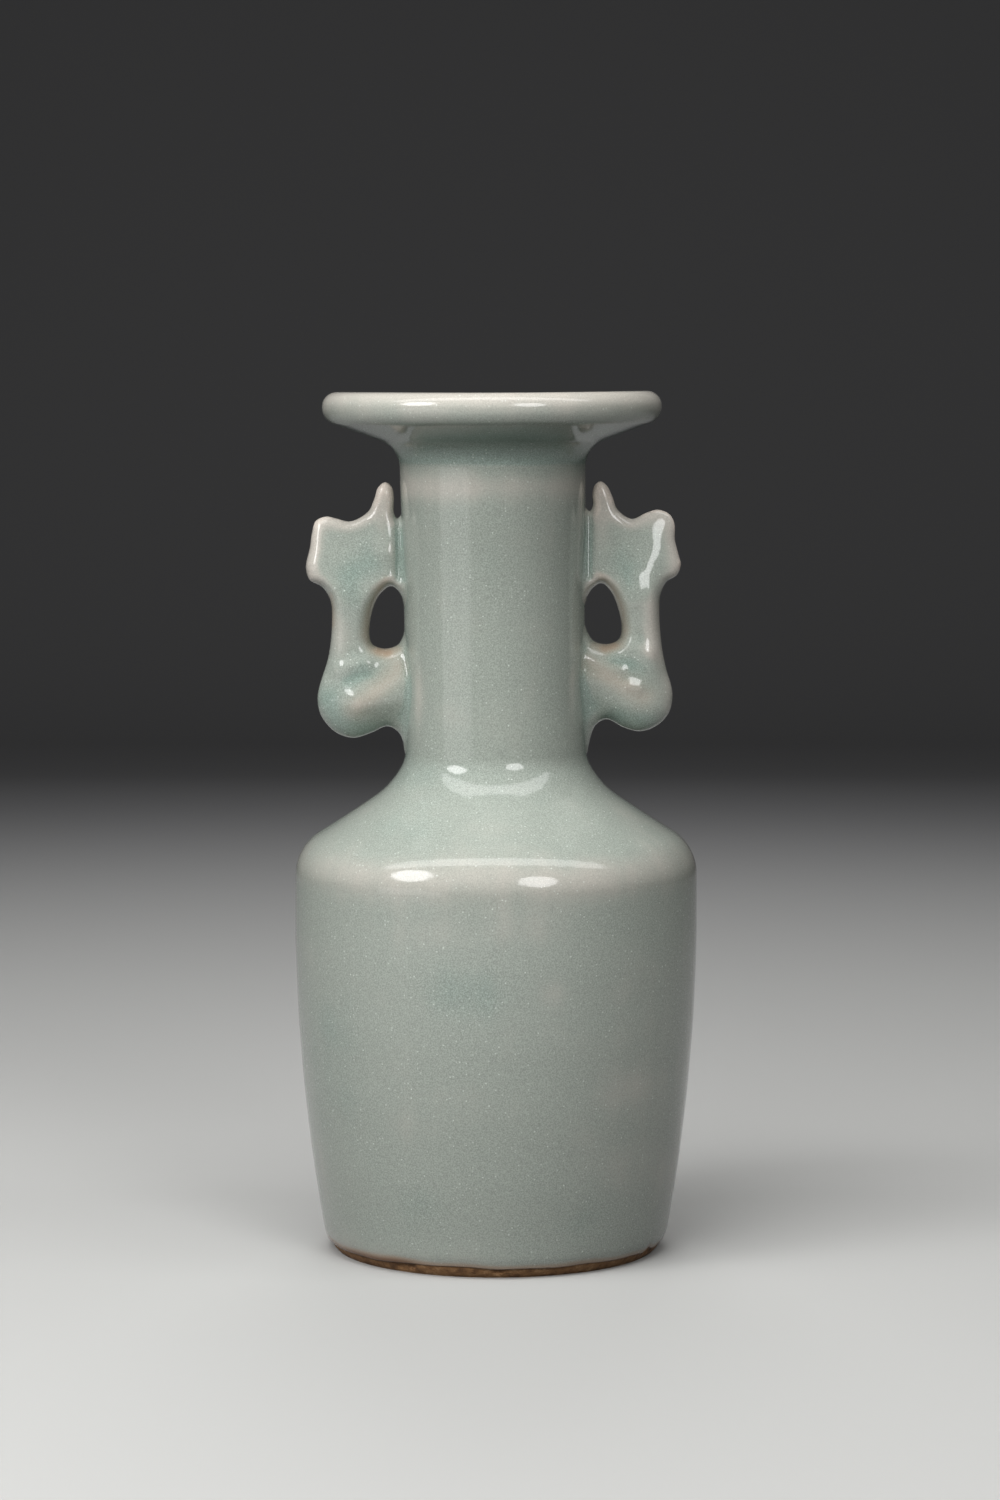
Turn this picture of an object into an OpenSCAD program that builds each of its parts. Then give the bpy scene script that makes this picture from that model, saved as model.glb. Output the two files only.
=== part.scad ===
// Mallet vase: a thrown stoneware vase with a dish mouth, a straight neck and
// a pair of phoenix handles. The pieces are the ones a potter makes one by one
// and lutes together with slip before the glaze firing.
// The floor is z = 0, the wheel axis is z, and the handles stand along x.

/* [Foot and base] */
// Height of the bare foot ring above the floor
foot_h = 2; // [1:0.1:3.5]
// Width of the foot ring's standing face
foot_w = 5.5; // [4:0.1:8]
// Bevel at the edges of the standing face
foot_bevel = 0.4; // [0.2:0.05:0.8]
// Height of the ring's inner collar, which carries the base disc
collar_h = 1.5; // [1:0.1:3]
// Thickness of the base disc
base_t = 4.5; // [3.5:0.1:7]

/* [Barrel] */
// Radius of the barrel at its widest
belly_r = 40; // [34:0.5:46]
// Height of the barrel's top seam above the floor
barrel_h = 73.5; // [60:0.5:90]
// How far the widest place lies below the top seam
belly_drop = 6.5; // [2:0.5:12]
// Radius of the wall's bow from foot to shoulder
bow_r = 355; // [300:5:500]
// Height at which the wall starts to turn in to the foot
heel_h = 4.5; // [4:0.1:7]
// Radius of the turn from the wall to the foot
heel_r = 9; // [7:0.5:12]
// Thickness of the barrel wall
barrel_wall = 4.5; // [3:0.1:6]

/* [Shoulder] */
// Radius of the rounded edge between barrel and shoulder
edge_r = 12; // [9:0.5:15]
// Slope of the shoulder above the horizontal, in degrees
shoulder_slope = 33; // [25:1:40]
// Radius of the curve from shoulder to neck
rise_r = 9.5; // [7:0.5:13]

/* [Neck] */
// Outer radius of the neck
neck_r = 18; // [16:0.5:21]
// Length of the neck between its two seams
neck_len = 55.7; // [50:0.1:66]
// Thickness of the neck wall
neck_wall = 3.8; // [3:0.1:5]
// Radius of the curve from the neck's bore to the dish
throat_r = 9; // [7:0.5:10]

/* [Dish mouth] */
// Outer radius of the lip
mouth_r = 33.5; // [30:0.5:38]
// Radius of the curve from neck to dish
flare_r = 6; // [4:0.5:8]
// Slope of the dish above the horizontal, in degrees
dish_slope = 22; // [15:1:28]
// Thickness of the dish
dish_wall = 3.8; // [3:0.1:4.2]
// Radius of the lip's lower edge
lip_under_r = 3.5; // [2.5:0.1:4.5]
// Height of the upright face of the lip
lip_face_h = 0.5; // [0.2:0.1:2]
// Radius of the lip's upper edge
lip_top_r = 2; // [1.2:0.1:2.6]
// Width of the lip, from outside to the edge of the dish
lip_w = 5; // [4.8:0.1:7]
// Radius of the lip's inner edge
lip_inner_r = 1.6; // [1:0.1:2]

/* [Luted seams] */
// Thickness of the slip in each seam
slip_t = 0.8; // [0.4:0.1:1.4]
// Depth of clay that closes over the slip at each side of the wall
seam_skin = 1.1; // [0.8:0.1:1.3]

/* [Phoenix handles] */
// Gap between the foot of the neck and the underside of the handle
handle_foot_gap = 2; // [1:0.5:5]
// Gap between the tip of the crest and the top of the neck
handle_top_gap = 2.4; // [1:0.2:6]
// Thickness of the clay pads between handle and neck
pad_t = 2; // [1.5:0.1:3]

/* [Breast and throat] */
// How far the breast stands out from the neck
breast_reach = 17; // [15:0.5:20]
// Radius of the breast, seen from the front
breast_r = 7.6; // [6.5:0.1:8]
// Thickness of the breast, from front to back
breast_t = 13; // [10:0.5:15]
// Height of the pad behind the breast
breast_pad_h = 13; // [10:0.5:14]
// Width of the pad behind the breast
breast_pad_w = 9; // [7:0.2:10]
// Height of that pad above the underside of the handle
breast_pad_rise = 4; // [2:0.5:6]
// Distance of the bird's throat from the neck
throat_reach = 10.4; // [9.5:0.1:12]
// Width of the throat, seen from the front
throat_w = 7.8; // [6.5:0.1:9]
// Thickness of the throat, from front to back
throat_t = 9; // [7:0.5:11]
// How much the throat spreads at the breast and at the jaw
throat_spread = 1; // [0.5:0.1:1.5]

/* [Head and crest] */
// Height of the head from the beak's tip to the crown
head_h = 10.4; // [9:0.1:12]
// Thickness of the head, from front to back
head_t = 8.6; // [7:0.2:10]
// Height of the pad behind the head
head_pad_h = 12.5; // [9:0.5:14]
// Width of the pad behind the head
head_pad_w = 5.4; // [4:0.2:7]
// Depth of that pad below the beak's tip
head_pad_drop = 2.6; // [1:0.2:4]
// How far the tip of the beak stands out from the neck
beak_reach = 19.3; // [18:0.1:21]
// Radius of the beak's tip
beak_r = 1.8; // [1.4:0.1:2.4]
// Depth of the jaw below the beak's tip
jaw_drop = 2; // [1:0.2:3]
// How far the crown stands out from the neck
crown_reach = 18; // [16.5:0.1:19.5]
// Radius of the crown's corner
crown_r = 2.6; // [2:0.1:3.2]
// Radius of the rounded nape, brow and foot of the crest
nape_r = 3; // [2.5:0.1:3.5]
// Depth of the saddle between crown and crest
saddle_drop = 1.2; // [0.5:0.1:2.5]
// Height of the crest above the crown
crest_h = 7; // [5:0.5:9]
// Radius of the crest's tip
crest_r = 1.5; // [1.2:0.1:2]
// Gap between the crest and the face of the pad
crest_gap = 0.4; // [0.2:0.1:1]

/* [Hidden] */
$fn = 96;

glaze_colour = "#aab9aa";
bare_clay_colour = "#8a5f42";
slip_colour = "#b9b2a4";

// Steps along one curve of an outline
arc_steps = 16;
// Facets around a rounded lump of a handle
lump_fn = 20;

// Outline helpers

function arc(centre, r, from, to) = [
    for (i = [0:arc_steps])
        let (a = from + (to - from) * i / arc_steps)
        [centre[0] + r * cos(a), centre[1] + r * sin(a)]
];

// Barrel outline

belly_z = barrel_h - belly_drop;

// Outside radius of the bowed wall at height z
function bow(z) = belly_r - bow_r + sqrt(pow(bow_r, 2) - pow(z - belly_z, 2));

heel_tilt = asin((belly_z - heel_h) / bow_r);
heel_centre = [bow(heel_h) - heel_r * cos(heel_tilt), heel_h + heel_r * sin(heel_tilt)];

// Angle on the turn of the heel at height z
function heel_angle(z) = asin((z - heel_centre[1]) / heel_r);

// Points of the bowed wall, moved in by a wall thickness
function wall_points(from_z, to_z, inset) = [
    for (i = [0:arc_steps])
        let (z = from_z + (to_z - from_z) * i / arc_steps)
        [bow(z) - inset, z]
];

function heel_points(from_z, to_z) = arc(heel_centre, heel_r, heel_angle(from_z), heel_angle(to_z));

// Foot and base places

foot_out_r = heel_centre[0] + heel_r * cos(heel_angle(0));
foot_in_r = foot_out_r - foot_w;
base_z = foot_h + collar_h;
base_top_z = base_z + base_t;
seat_r = bow(base_top_z) - barrel_wall;

// Shoulder outline

seam_tilt = asin(belly_drop / bow_r);
edge_centre = [bow(barrel_h) - edge_r * cos(seam_tilt), barrel_h - edge_r * sin(seam_tilt)];
slope_normal = 90 - shoulder_slope;
edge_end = [edge_centre[0] + edge_r * cos(slope_normal), edge_centre[1] + edge_r * sin(slope_normal)];
rise_x = neck_r + rise_r;
rise_foot_r = rise_x - rise_r * cos(slope_normal);
rise_foot_z = edge_end[1] + (edge_end[0] - rise_foot_r) * tan(shoulder_slope);
neck_z = rise_foot_z + rise_r * sin(slope_normal);
rise_centre = [rise_x, neck_z];

// Mouth outline

bore_r = neck_r - neck_wall;
mouth_z = neck_z + neck_len;
flare_centre = [neck_r + flare_r, mouth_z];
flare_to = 90 + dish_slope;
flare_end = [flare_centre[0] + flare_r * cos(flare_to), mouth_z + flare_r * sin(flare_to)];

// Height of the dish's upper face at radius r
function dish_z(r) = flare_end[1] + (r - flare_end[0]) * tan(dish_slope) + dish_wall / cos(dish_slope);

throat_x = bore_r + throat_r;
throat_top_r = throat_x + throat_r * cos(flare_to);
throat_centre = [throat_x, dish_z(throat_top_r) - throat_r * sin(flare_to)];
lip_turn = dish_slope - 90;
lip_under_x = mouth_r - lip_under_r;
lip_start_r = lip_under_x + lip_under_r * cos(lip_turn);
lip_start_z = flare_end[1] + (lip_start_r - flare_end[0]) * tan(dish_slope);
lip_under_centre = [lip_under_x, lip_start_z - lip_under_r * sin(lip_turn)];
lip_top_centre = [mouth_r - lip_top_r, lip_under_centre[1] + lip_face_h];
vase_h = lip_top_centre[1] + lip_top_r;
dish_r = mouth_r - lip_w;
lip_inner_turn = min(lip_inner_r, vase_h - dish_z(dish_r));
lip_inner_centre = [dish_r + lip_inner_turn, vase_h - lip_inner_turn];

// Slip in the groove of a level seam, as a flat ring outline
module seam_groove(in_r, out_r, z) {
    translate([in_r + seam_skin, z - slip_t / 2])
        square([out_r - in_r - 2 * seam_skin, slip_t]);
}

module shoulder_groove() {
    seam_groove(bow(barrel_h) - barrel_wall, bow(barrel_h), barrel_h);
}

module neck_groove() {
    seam_groove(bore_r, neck_r, neck_z);
}

module mouth_groove() {
    seam_groove(bore_r, neck_r, mouth_z);
}

// Slip in the groove around the rim of the base disc
module base_groove() {
    translate([seat_r - slip_t, base_z + seam_skin])
        square([slip_t, base_t - 2 * seam_skin]);
}

// Thrown pieces

// Bare ring that the vase stands on, with a collar that carries the base disc
module foot_ring() {
    outline = concat(
        [[foot_in_r, foot_bevel], [foot_in_r + foot_bevel, 0]],
        [[foot_out_r - foot_bevel, 0]],
        heel_points(foot_bevel, foot_h),
        [[seat_r, foot_h], [seat_r, base_z], [foot_in_r, base_z]]
    );
    color(bare_clay_colour)
        rotate_extrude()
            polygon(outline);
}

// Disc that closes the bottom, set on the collar of the foot ring
module base_disc() {
    color(glaze_colour)
        rotate_extrude()
            difference() {
                translate([0, base_z])
                    square([seat_r, base_t]);
                base_groove();
            }
}

// Bowed wall from the foot ring to the shoulder seam
module barrel() {
    outline = concat(
        heel_points(foot_h, heel_h),
        wall_points(heel_h, barrel_h, 0),
        wall_points(barrel_h, base_top_z, barrel_wall),
        [[seat_r, foot_h]]
    );
    color(glaze_colour)
        rotate_extrude()
            difference() {
                polygon(outline);
                shoulder_groove();
            }
}

// Rounded edge, sloping shoulder and rise to the neck seam
module shoulder() {
    outline = concat(
        arc(edge_centre, edge_r, seam_tilt, slope_normal),
        arc(rise_centre, rise_r, 180 + slope_normal, 180),
        arc(rise_centre, rise_r + neck_wall, 180, 180 + slope_normal),
        arc(edge_centre, edge_r - barrel_wall, slope_normal, seam_tilt),
        [[bow(barrel_h) - barrel_wall, barrel_h]]
    );
    color(glaze_colour)
        rotate_extrude()
            difference() {
                polygon(outline);
                shoulder_groove();
                neck_groove();
            }
}

// Straight tube between the neck seam and the mouth seam
module neck() {
    color(glaze_colour)
        rotate_extrude()
            difference() {
                translate([bore_r, neck_z])
                    square([neck_wall, neck_len]);
                neck_groove();
                mouth_groove();
            }
}

// Flared dish with a thick rounded lip
module dish_mouth() {
    outline = concat(
        arc(flare_centre, flare_r, 180, flare_to),
        arc(lip_under_centre, lip_under_r, lip_turn, 0),
        arc(lip_top_centre, lip_top_r, 0, 90),
        arc(lip_inner_centre, lip_inner_turn, 90, 180),
        [[dish_r, dish_z(dish_r)]],
        arc(throat_centre, throat_r, flare_to, 180),
        [[bore_r, mouth_z]]
    );
    color(glaze_colour)
        rotate_extrude()
            difference() {
                polygon(outline);
                mouth_groove();
            }
}

// Slip rings

module slip_ring() {
    color(slip_colour)
        rotate_extrude()
            children();
}

module base_slip() {
    slip_ring() base_groove();
}

module shoulder_slip() {
    slip_ring() shoulder_groove();
}

module neck_slip() {
    slip_ring() neck_groove();
}

module mouth_slip() {
    slip_ring() mouth_groove();
}

// Phoenix handles, in a frame with x out from the neck's axis

pad_face_x = neck_r + pad_t;
handle_z = neck_z + handle_foot_gap;
handle_top_z = mouth_z - handle_top_gap;
crown_z = handle_top_z - crest_h;
beak_z = crown_z - head_h;

// Each lump of the bird is its place out from the neck and up from the floor,
// its radius seen from the front, and half its thickness
breast_pad_z = handle_z + breast_pad_rise;
head_pad_z = beak_z - head_pad_drop;
thin_head = head_t / 2 - throat_spread;
breast = [breast_reach - breast_r, handle_z + breast_r, breast_r, breast_t / 2];
breast_tail = [pad_t, breast_pad_z + breast_pad_h / 2, breast_pad_h / 2, breast_pad_w / 2];
throat_foot = [
    throat_reach,
    handle_z + 2 * breast_r + throat_spread,
    throat_w / 2 + throat_spread,
    throat_t / 2 + throat_spread / 2
];
jaw = [throat_reach, beak_z - jaw_drop, throat_w / 2 + throat_spread, head_t / 2];
throat = [throat_reach, (throat_foot[1] + jaw[1]) / 2, throat_w / 2, throat_t / 2];
nape = [pad_t + nape_r / 3, beak_z + jaw_drop, nape_r, thin_head];
brow = [throat_reach, crown_z - saddle_drop - nape_r, nape_r, thin_head];
crest_foot = [pad_t + nape_r / 2, crown_z - saddle_drop - nape_r, nape_r, thin_head];
crown = [crown_reach - crown_r, crown_z - crown_r, crown_r, crown_r];
beak = [beak_reach - beak_r, beak_z, beak_r, beak_r];
crest_tip = [pad_t + crest_gap + crest_r, handle_top_z - crest_r, crest_r, crest_r];

// Lumps that are drawn together into one bird
phoenix_limbs = [
    [breast_tail, breast],
    [breast, throat_foot],
    [throat_foot, throat],
    [throat, jaw],
    [jaw, nape, brow],
    [jaw, brow, crown],
    [jaw, crown, beak],
    [nape, brow, crest_foot],
    [crest_foot, crest_tip]
];

module lump(place) {
    translate([neck_r + place[0], 0, place[1]])
        scale([place[2], place[3], place[2]])
            sphere(1, $fn = lump_fn);
}

// One moulded half of the bird; side is -1 for the front and 1 for the back
module phoenix_half(side) {
    intersection() {
        union() {
            for (limb = phoenix_limbs)
                hull()
                    for (place = limb)
                        lump(place);
        }
        translate([pad_face_x, side < 0 ? -vase_h : 0, 0])
            cube(vase_h);
    }
}

// Pad of clay with round ends, hollowed to sit on the neck
module pad(low_z, h, w) {
    difference() {
        rotate([90, 0, 90])
            linear_extrude(pad_face_x)
                translate([0, low_z])
                    union() {
                        translate([-w / 2, w / 2])
                            square([w, h - w]);
                        translate([0, w / 2])
                            circle(d = w);
                        translate([0, h - w / 2])
                            circle(d = w);
                    }
        translate([0, 0, low_z - pad_t])
            cylinder(r = neck_r, h = h + 2 * pad_t);
    }
}

module head_pad() {
    pad(head_pad_z, head_pad_h, head_pad_w);
}

module breast_pad() {
    pad(breast_pad_z, breast_pad_h, breast_pad_w);
}

// Each handle stands at its own side of the neck, and the left one mirrors the right one

module on_right() {
    color(glaze_colour)
        children();
}

module on_left() {
    color(glaze_colour)
        mirror([1, 0, 0])
            children();
}

module left_phoenix_front() {
    on_left() phoenix_half(-1);
}

module left_phoenix_back() {
    on_left() phoenix_half(1);
}

module left_head_pad() {
    on_left() head_pad();
}

module left_breast_pad() {
    on_left() breast_pad();
}

module right_phoenix_front() {
    on_right() phoenix_half(-1);
}

module right_phoenix_back() {
    on_right() phoenix_half(1);
}

module right_head_pad() {
    on_right() head_pad();
}

module right_breast_pad() {
    on_right() breast_pad();
}

foot_ring();
base_disc();
barrel();
shoulder();
neck();
dish_mouth();
base_slip();
shoulder_slip();
neck_slip();
mouth_slip();
left_phoenix_front();
left_phoenix_back();
left_head_pad();
left_breast_pad();
right_phoenix_front();
right_phoenix_back();
right_head_pad();
right_breast_pad();
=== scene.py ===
"""Celadon mallet vase with a pair of phoenix handles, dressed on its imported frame.

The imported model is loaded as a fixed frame. The thrown pieces share one glazed skin that is cut at
their luted seams, the handles get their moulded relief, the foot its bare clay, and a plain studio
stands round the vase. Lengths are in metres unless a docstring says millimetres.
"""

import logging
import math
from dataclasses import dataclass, field
from enum import Enum
from typing import Optional, Sequence

import bmesh
import bpy
import numpy as np
import openvdb
from mathutils import Color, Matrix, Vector


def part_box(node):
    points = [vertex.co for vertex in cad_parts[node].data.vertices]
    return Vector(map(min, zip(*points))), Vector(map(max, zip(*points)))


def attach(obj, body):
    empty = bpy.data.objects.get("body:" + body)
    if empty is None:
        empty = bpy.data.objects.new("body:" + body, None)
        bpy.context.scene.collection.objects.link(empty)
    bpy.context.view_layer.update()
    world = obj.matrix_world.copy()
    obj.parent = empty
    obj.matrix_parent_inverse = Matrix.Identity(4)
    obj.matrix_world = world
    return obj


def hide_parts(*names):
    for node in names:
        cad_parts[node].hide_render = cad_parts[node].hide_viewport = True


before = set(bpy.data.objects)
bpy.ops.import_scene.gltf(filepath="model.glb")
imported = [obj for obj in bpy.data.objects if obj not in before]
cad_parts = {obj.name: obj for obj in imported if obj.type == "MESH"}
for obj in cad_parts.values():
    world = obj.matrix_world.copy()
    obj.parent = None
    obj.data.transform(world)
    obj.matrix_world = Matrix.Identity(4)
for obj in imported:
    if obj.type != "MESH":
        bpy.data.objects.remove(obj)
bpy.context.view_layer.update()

log = logging.getLogger("mallet_vase")

MM = 0.001
BODY = "root"
GLAZE_SLOT = "celadon_glaze"
# The glaze depth that the meshes carry also holds painted light and painted shade, and the iron tint some
# painted shade.
DEPTH_AND_LIGHT = "glaze_depth_and_painted_light"
TINT_AND_SHADE = "iron_tint_and_painted_shade"

# Angles in degrees, the largest part of a screen colour, and lengths too small to matter
QUARTER = 90.0
HALF = 180.0
FULL_PART = 255.0
NEAR = 1e-6
TINY = 1e-18

Array = np.ndarray
Colour = tuple[float, float, float, float]
Point = tuple[float, float]
Socket = bpy.types.NodeSocket


# Small helpers


def pigment(red: int, green: int, blue: int) -> Colour:
    """Turn a colour as it shows on a screen, 0 to 255, into the shader's linear colour."""
    shown = Color([part / FULL_PART for part in (red, green, blue)])
    return (*shown.from_srgb_to_scene_linear(), 1.0)


def ease(values: Array, start: float, stop: float) -> Array:
    """Rise smoothly from 0 at start to 1 at stop."""
    share = np.clip((values - start) / (stop - start), 0.0, 1.0)
    return share * share * (3.0 - 2.0 * share)


def swell(values: Array, centre: float, width: float) -> Array:
    """Give a soft hump that is 1 at its centre and spreads by its width to each side."""
    return np.exp(-(((values - centre) / width) ** 2))


def graded(values: Array, table: Sequence[Point], soften: float, samples: int = 9) -> Array:
    """Read a table of places and sizes, with its corners rounded off.

    Args:
        values: the places to read.
        table: pairs of place and size, in rising order of place.
        soften: half width over which corners are rounded.
        samples: how many readings the rounding takes.

    Returns:
        The size at each place.
    """
    places, sizes = zip(*table)
    shifts = np.linspace(-soften, soften, samples)
    return sum(np.interp(values + shift, places, sizes) for shift in shifts) / samples


def unit(vectors: Array) -> Array:
    """Scale vectors to a length of 1."""
    return vectors / np.maximum(np.linalg.norm(vectors, axis=-1, keepdims=True), TINY)


def wrapped(turn: Array) -> Array:
    """Bring angles into the range of half a turn to each side."""
    return np.mod(turn + math.pi, 2.0 * math.pi) - math.pi


def full_turn(count: int) -> Array:
    """Give even angles once round the axis."""
    return np.linspace(0.0, 2.0 * math.pi, count, endpoint=False)


def turned(reach: Array, turn: Array, z: Array) -> Array:
    """Place points round the axis by radius, angle and height."""
    return np.stack(np.broadcast_arrays(reach * np.cos(turn), reach * np.sin(turn), z), axis=-1)


def on_circle(centre: Point, radius: float, angle: float) -> Point:
    """Give the point of a circle at an angle in degrees."""
    turn = math.radians(angle)
    return (centre[0] + radius * math.cos(turn), centre[1] + radius * math.sin(turn))


# Finishes


class NodeSheet:
    """A material's node tree, with short calls for the nodes that the finishes use."""

    # Places of the colour sockets on a mix node, and the average of a noise
    MIX_SHARE, MIX_FIRST, MIX_SECOND, MIX_RESULT = 0, 6, 7, 2
    NOISE_MEAN = 0.5

    def __init__(self, name: str) -> None:
        """Start an empty procedural material.

        Args:
            name: name of the material.
        """
        self.material = bpy.data.materials.new(name)
        self.material.use_nodes = True
        self.tree = self.material.node_tree
        self.shader = self.tree.nodes["Principled BSDF"]
        self.place = self.node("ShaderNodeTexCoord").outputs["Object"]

    def node(self, kind: str, **settings: object) -> bpy.types.Node:
        """Add a node.

        Args:
            kind: node type.
            **settings: attributes of the node.

        Returns:
            The new node.
        """
        made = self.tree.nodes.new(kind)
        for key, value in settings.items():
            setattr(made, key, value)
        return made

    def feed(self, socket: Socket, value: object) -> None:
        """Link an output to an input, or set the input to a constant.

        Args:
            socket: the input.
            value: an output socket or a constant.
        """
        if isinstance(value, bpy.types.NodeSocket):
            self.tree.links.new(value, socket)
        else:
            socket.default_value = value

    def given(self, name: str) -> Socket:
        """Read a value that the mesh carries at each point under a name."""
        return self.node("ShaderNodeAttribute", attribute_name=name).outputs["Fac"]

    def sum(self, operation: str, *values: object) -> Socket:
        """Work out one step of arithmetic.

        Args:
            operation: operation of the math node.
            *values: values or outputs that it takes, in order.

        Returns:
            The result.
        """
        made = self.node("ShaderNodeMath", operation=operation)
        for socket, value in zip(made.inputs, values):
            self.feed(socket, value)
        return made.outputs[0]

    def swing(self, noise: Socket, width: float) -> Socket:
        """Turn a noise into a change of some width, 0 on average."""
        return self.sum("MULTIPLY_ADD", noise, width, -self.NOISE_MEAN * width)

    def stretch(self, upward: float) -> Socket:
        """Squeeze the place on the object along its height before a pattern reads it.

        Args:
            upward: factor along the height.

        Returns:
            The squeezed place.
        """
        made = self.node("ShaderNodeMapping")
        self.feed(made.inputs["Vector"], self.place)
        made.inputs["Scale"].default_value = (1.0, 1.0, upward)
        return made.outputs["Vector"]

    def clouds(self, size: float, detail: float = 2.0, place: Optional[Socket] = None) -> Socket:
        """Add a soft noise.

        Args:
            size: size of its patches.
            detail: how many finer layers it has.
            place: where to read it, if not at the plain place on the object.

        Returns:
            The noise.
        """
        made = self.node("ShaderNodeTexNoise")
        self.feed(made.inputs["Vector"], place or self.place)
        made.inputs["Scale"].default_value = 1.0 / size
        made.inputs["Detail"].default_value = detail
        return made.outputs["Fac"]

    def band(self, value: Socket, low: float, high: float, start: float, stop: float) -> Socket:
        """Map a range of values onto another one smoothly.

        Args:
            value: the value to map.
            low: value that gives start.
            high: value that gives stop.
            start: result at low.
            stop: result at high.

        Returns:
            The mapped value.
        """
        made = self.node("ShaderNodeMapRange", interpolation_type="SMOOTHSTEP")
        keys = ("Value", "From Min", "From Max", "To Min", "To Max")
        for key, given in zip(keys, (value, low, high, start, stop)):
            self.feed(made.inputs[key], given)
        return made.outputs["Result"]

    def blend(self, share: Socket, first: object, second: object) -> Socket:
        """Mix two colours.

        Args:
            share: how much of the second colour shows.
            first: first colour.
            second: second colour.

        Returns:
            The mixed colour.
        """
        made = self.node("ShaderNodeMix", data_type="RGBA")
        self.feed(made.inputs[self.MIX_SHARE], share)
        self.feed(made.inputs[self.MIX_FIRST], first)
        self.feed(made.inputs[self.MIX_SECOND], second)
        return made.outputs[self.MIX_RESULT]

    def ramp(self, value: Socket, stops: Sequence[tuple[float, Colour]]) -> Socket:
        """Colour a value.

        Args:
            value: the value, 0 to 1.
            stops: places on the ramp with their colours; it starts with two.

        Returns:
            The colour.
        """
        made = self.node("ShaderNodeValToRGB")
        made.color_ramp.interpolation = "EASE"
        middle = 0.5
        for _ in stops[2:]:
            made.color_ramp.elements.new(middle)
        for element, (place, colour) in zip(made.color_ramp.elements, stops):
            element.position = place
            element.color = colour
        self.feed(made.inputs["Fac"], value)
        return made.outputs["Color"]

    def relief(self, height: Socket, depth: float) -> None:
        """Give the surface a fine relief.

        Args:
            height: height of the relief, 0 to 1.
            depth: how deep 1 is.
        """
        made = self.node("ShaderNodeBump")
        made.inputs["Distance"].default_value = depth
        made.inputs["Strength"].default_value = 1.0
        self.feed(made.inputs["Height"], height)
        self.feed(self.shader.inputs["Normal"], made.outputs["Normal"])


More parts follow.
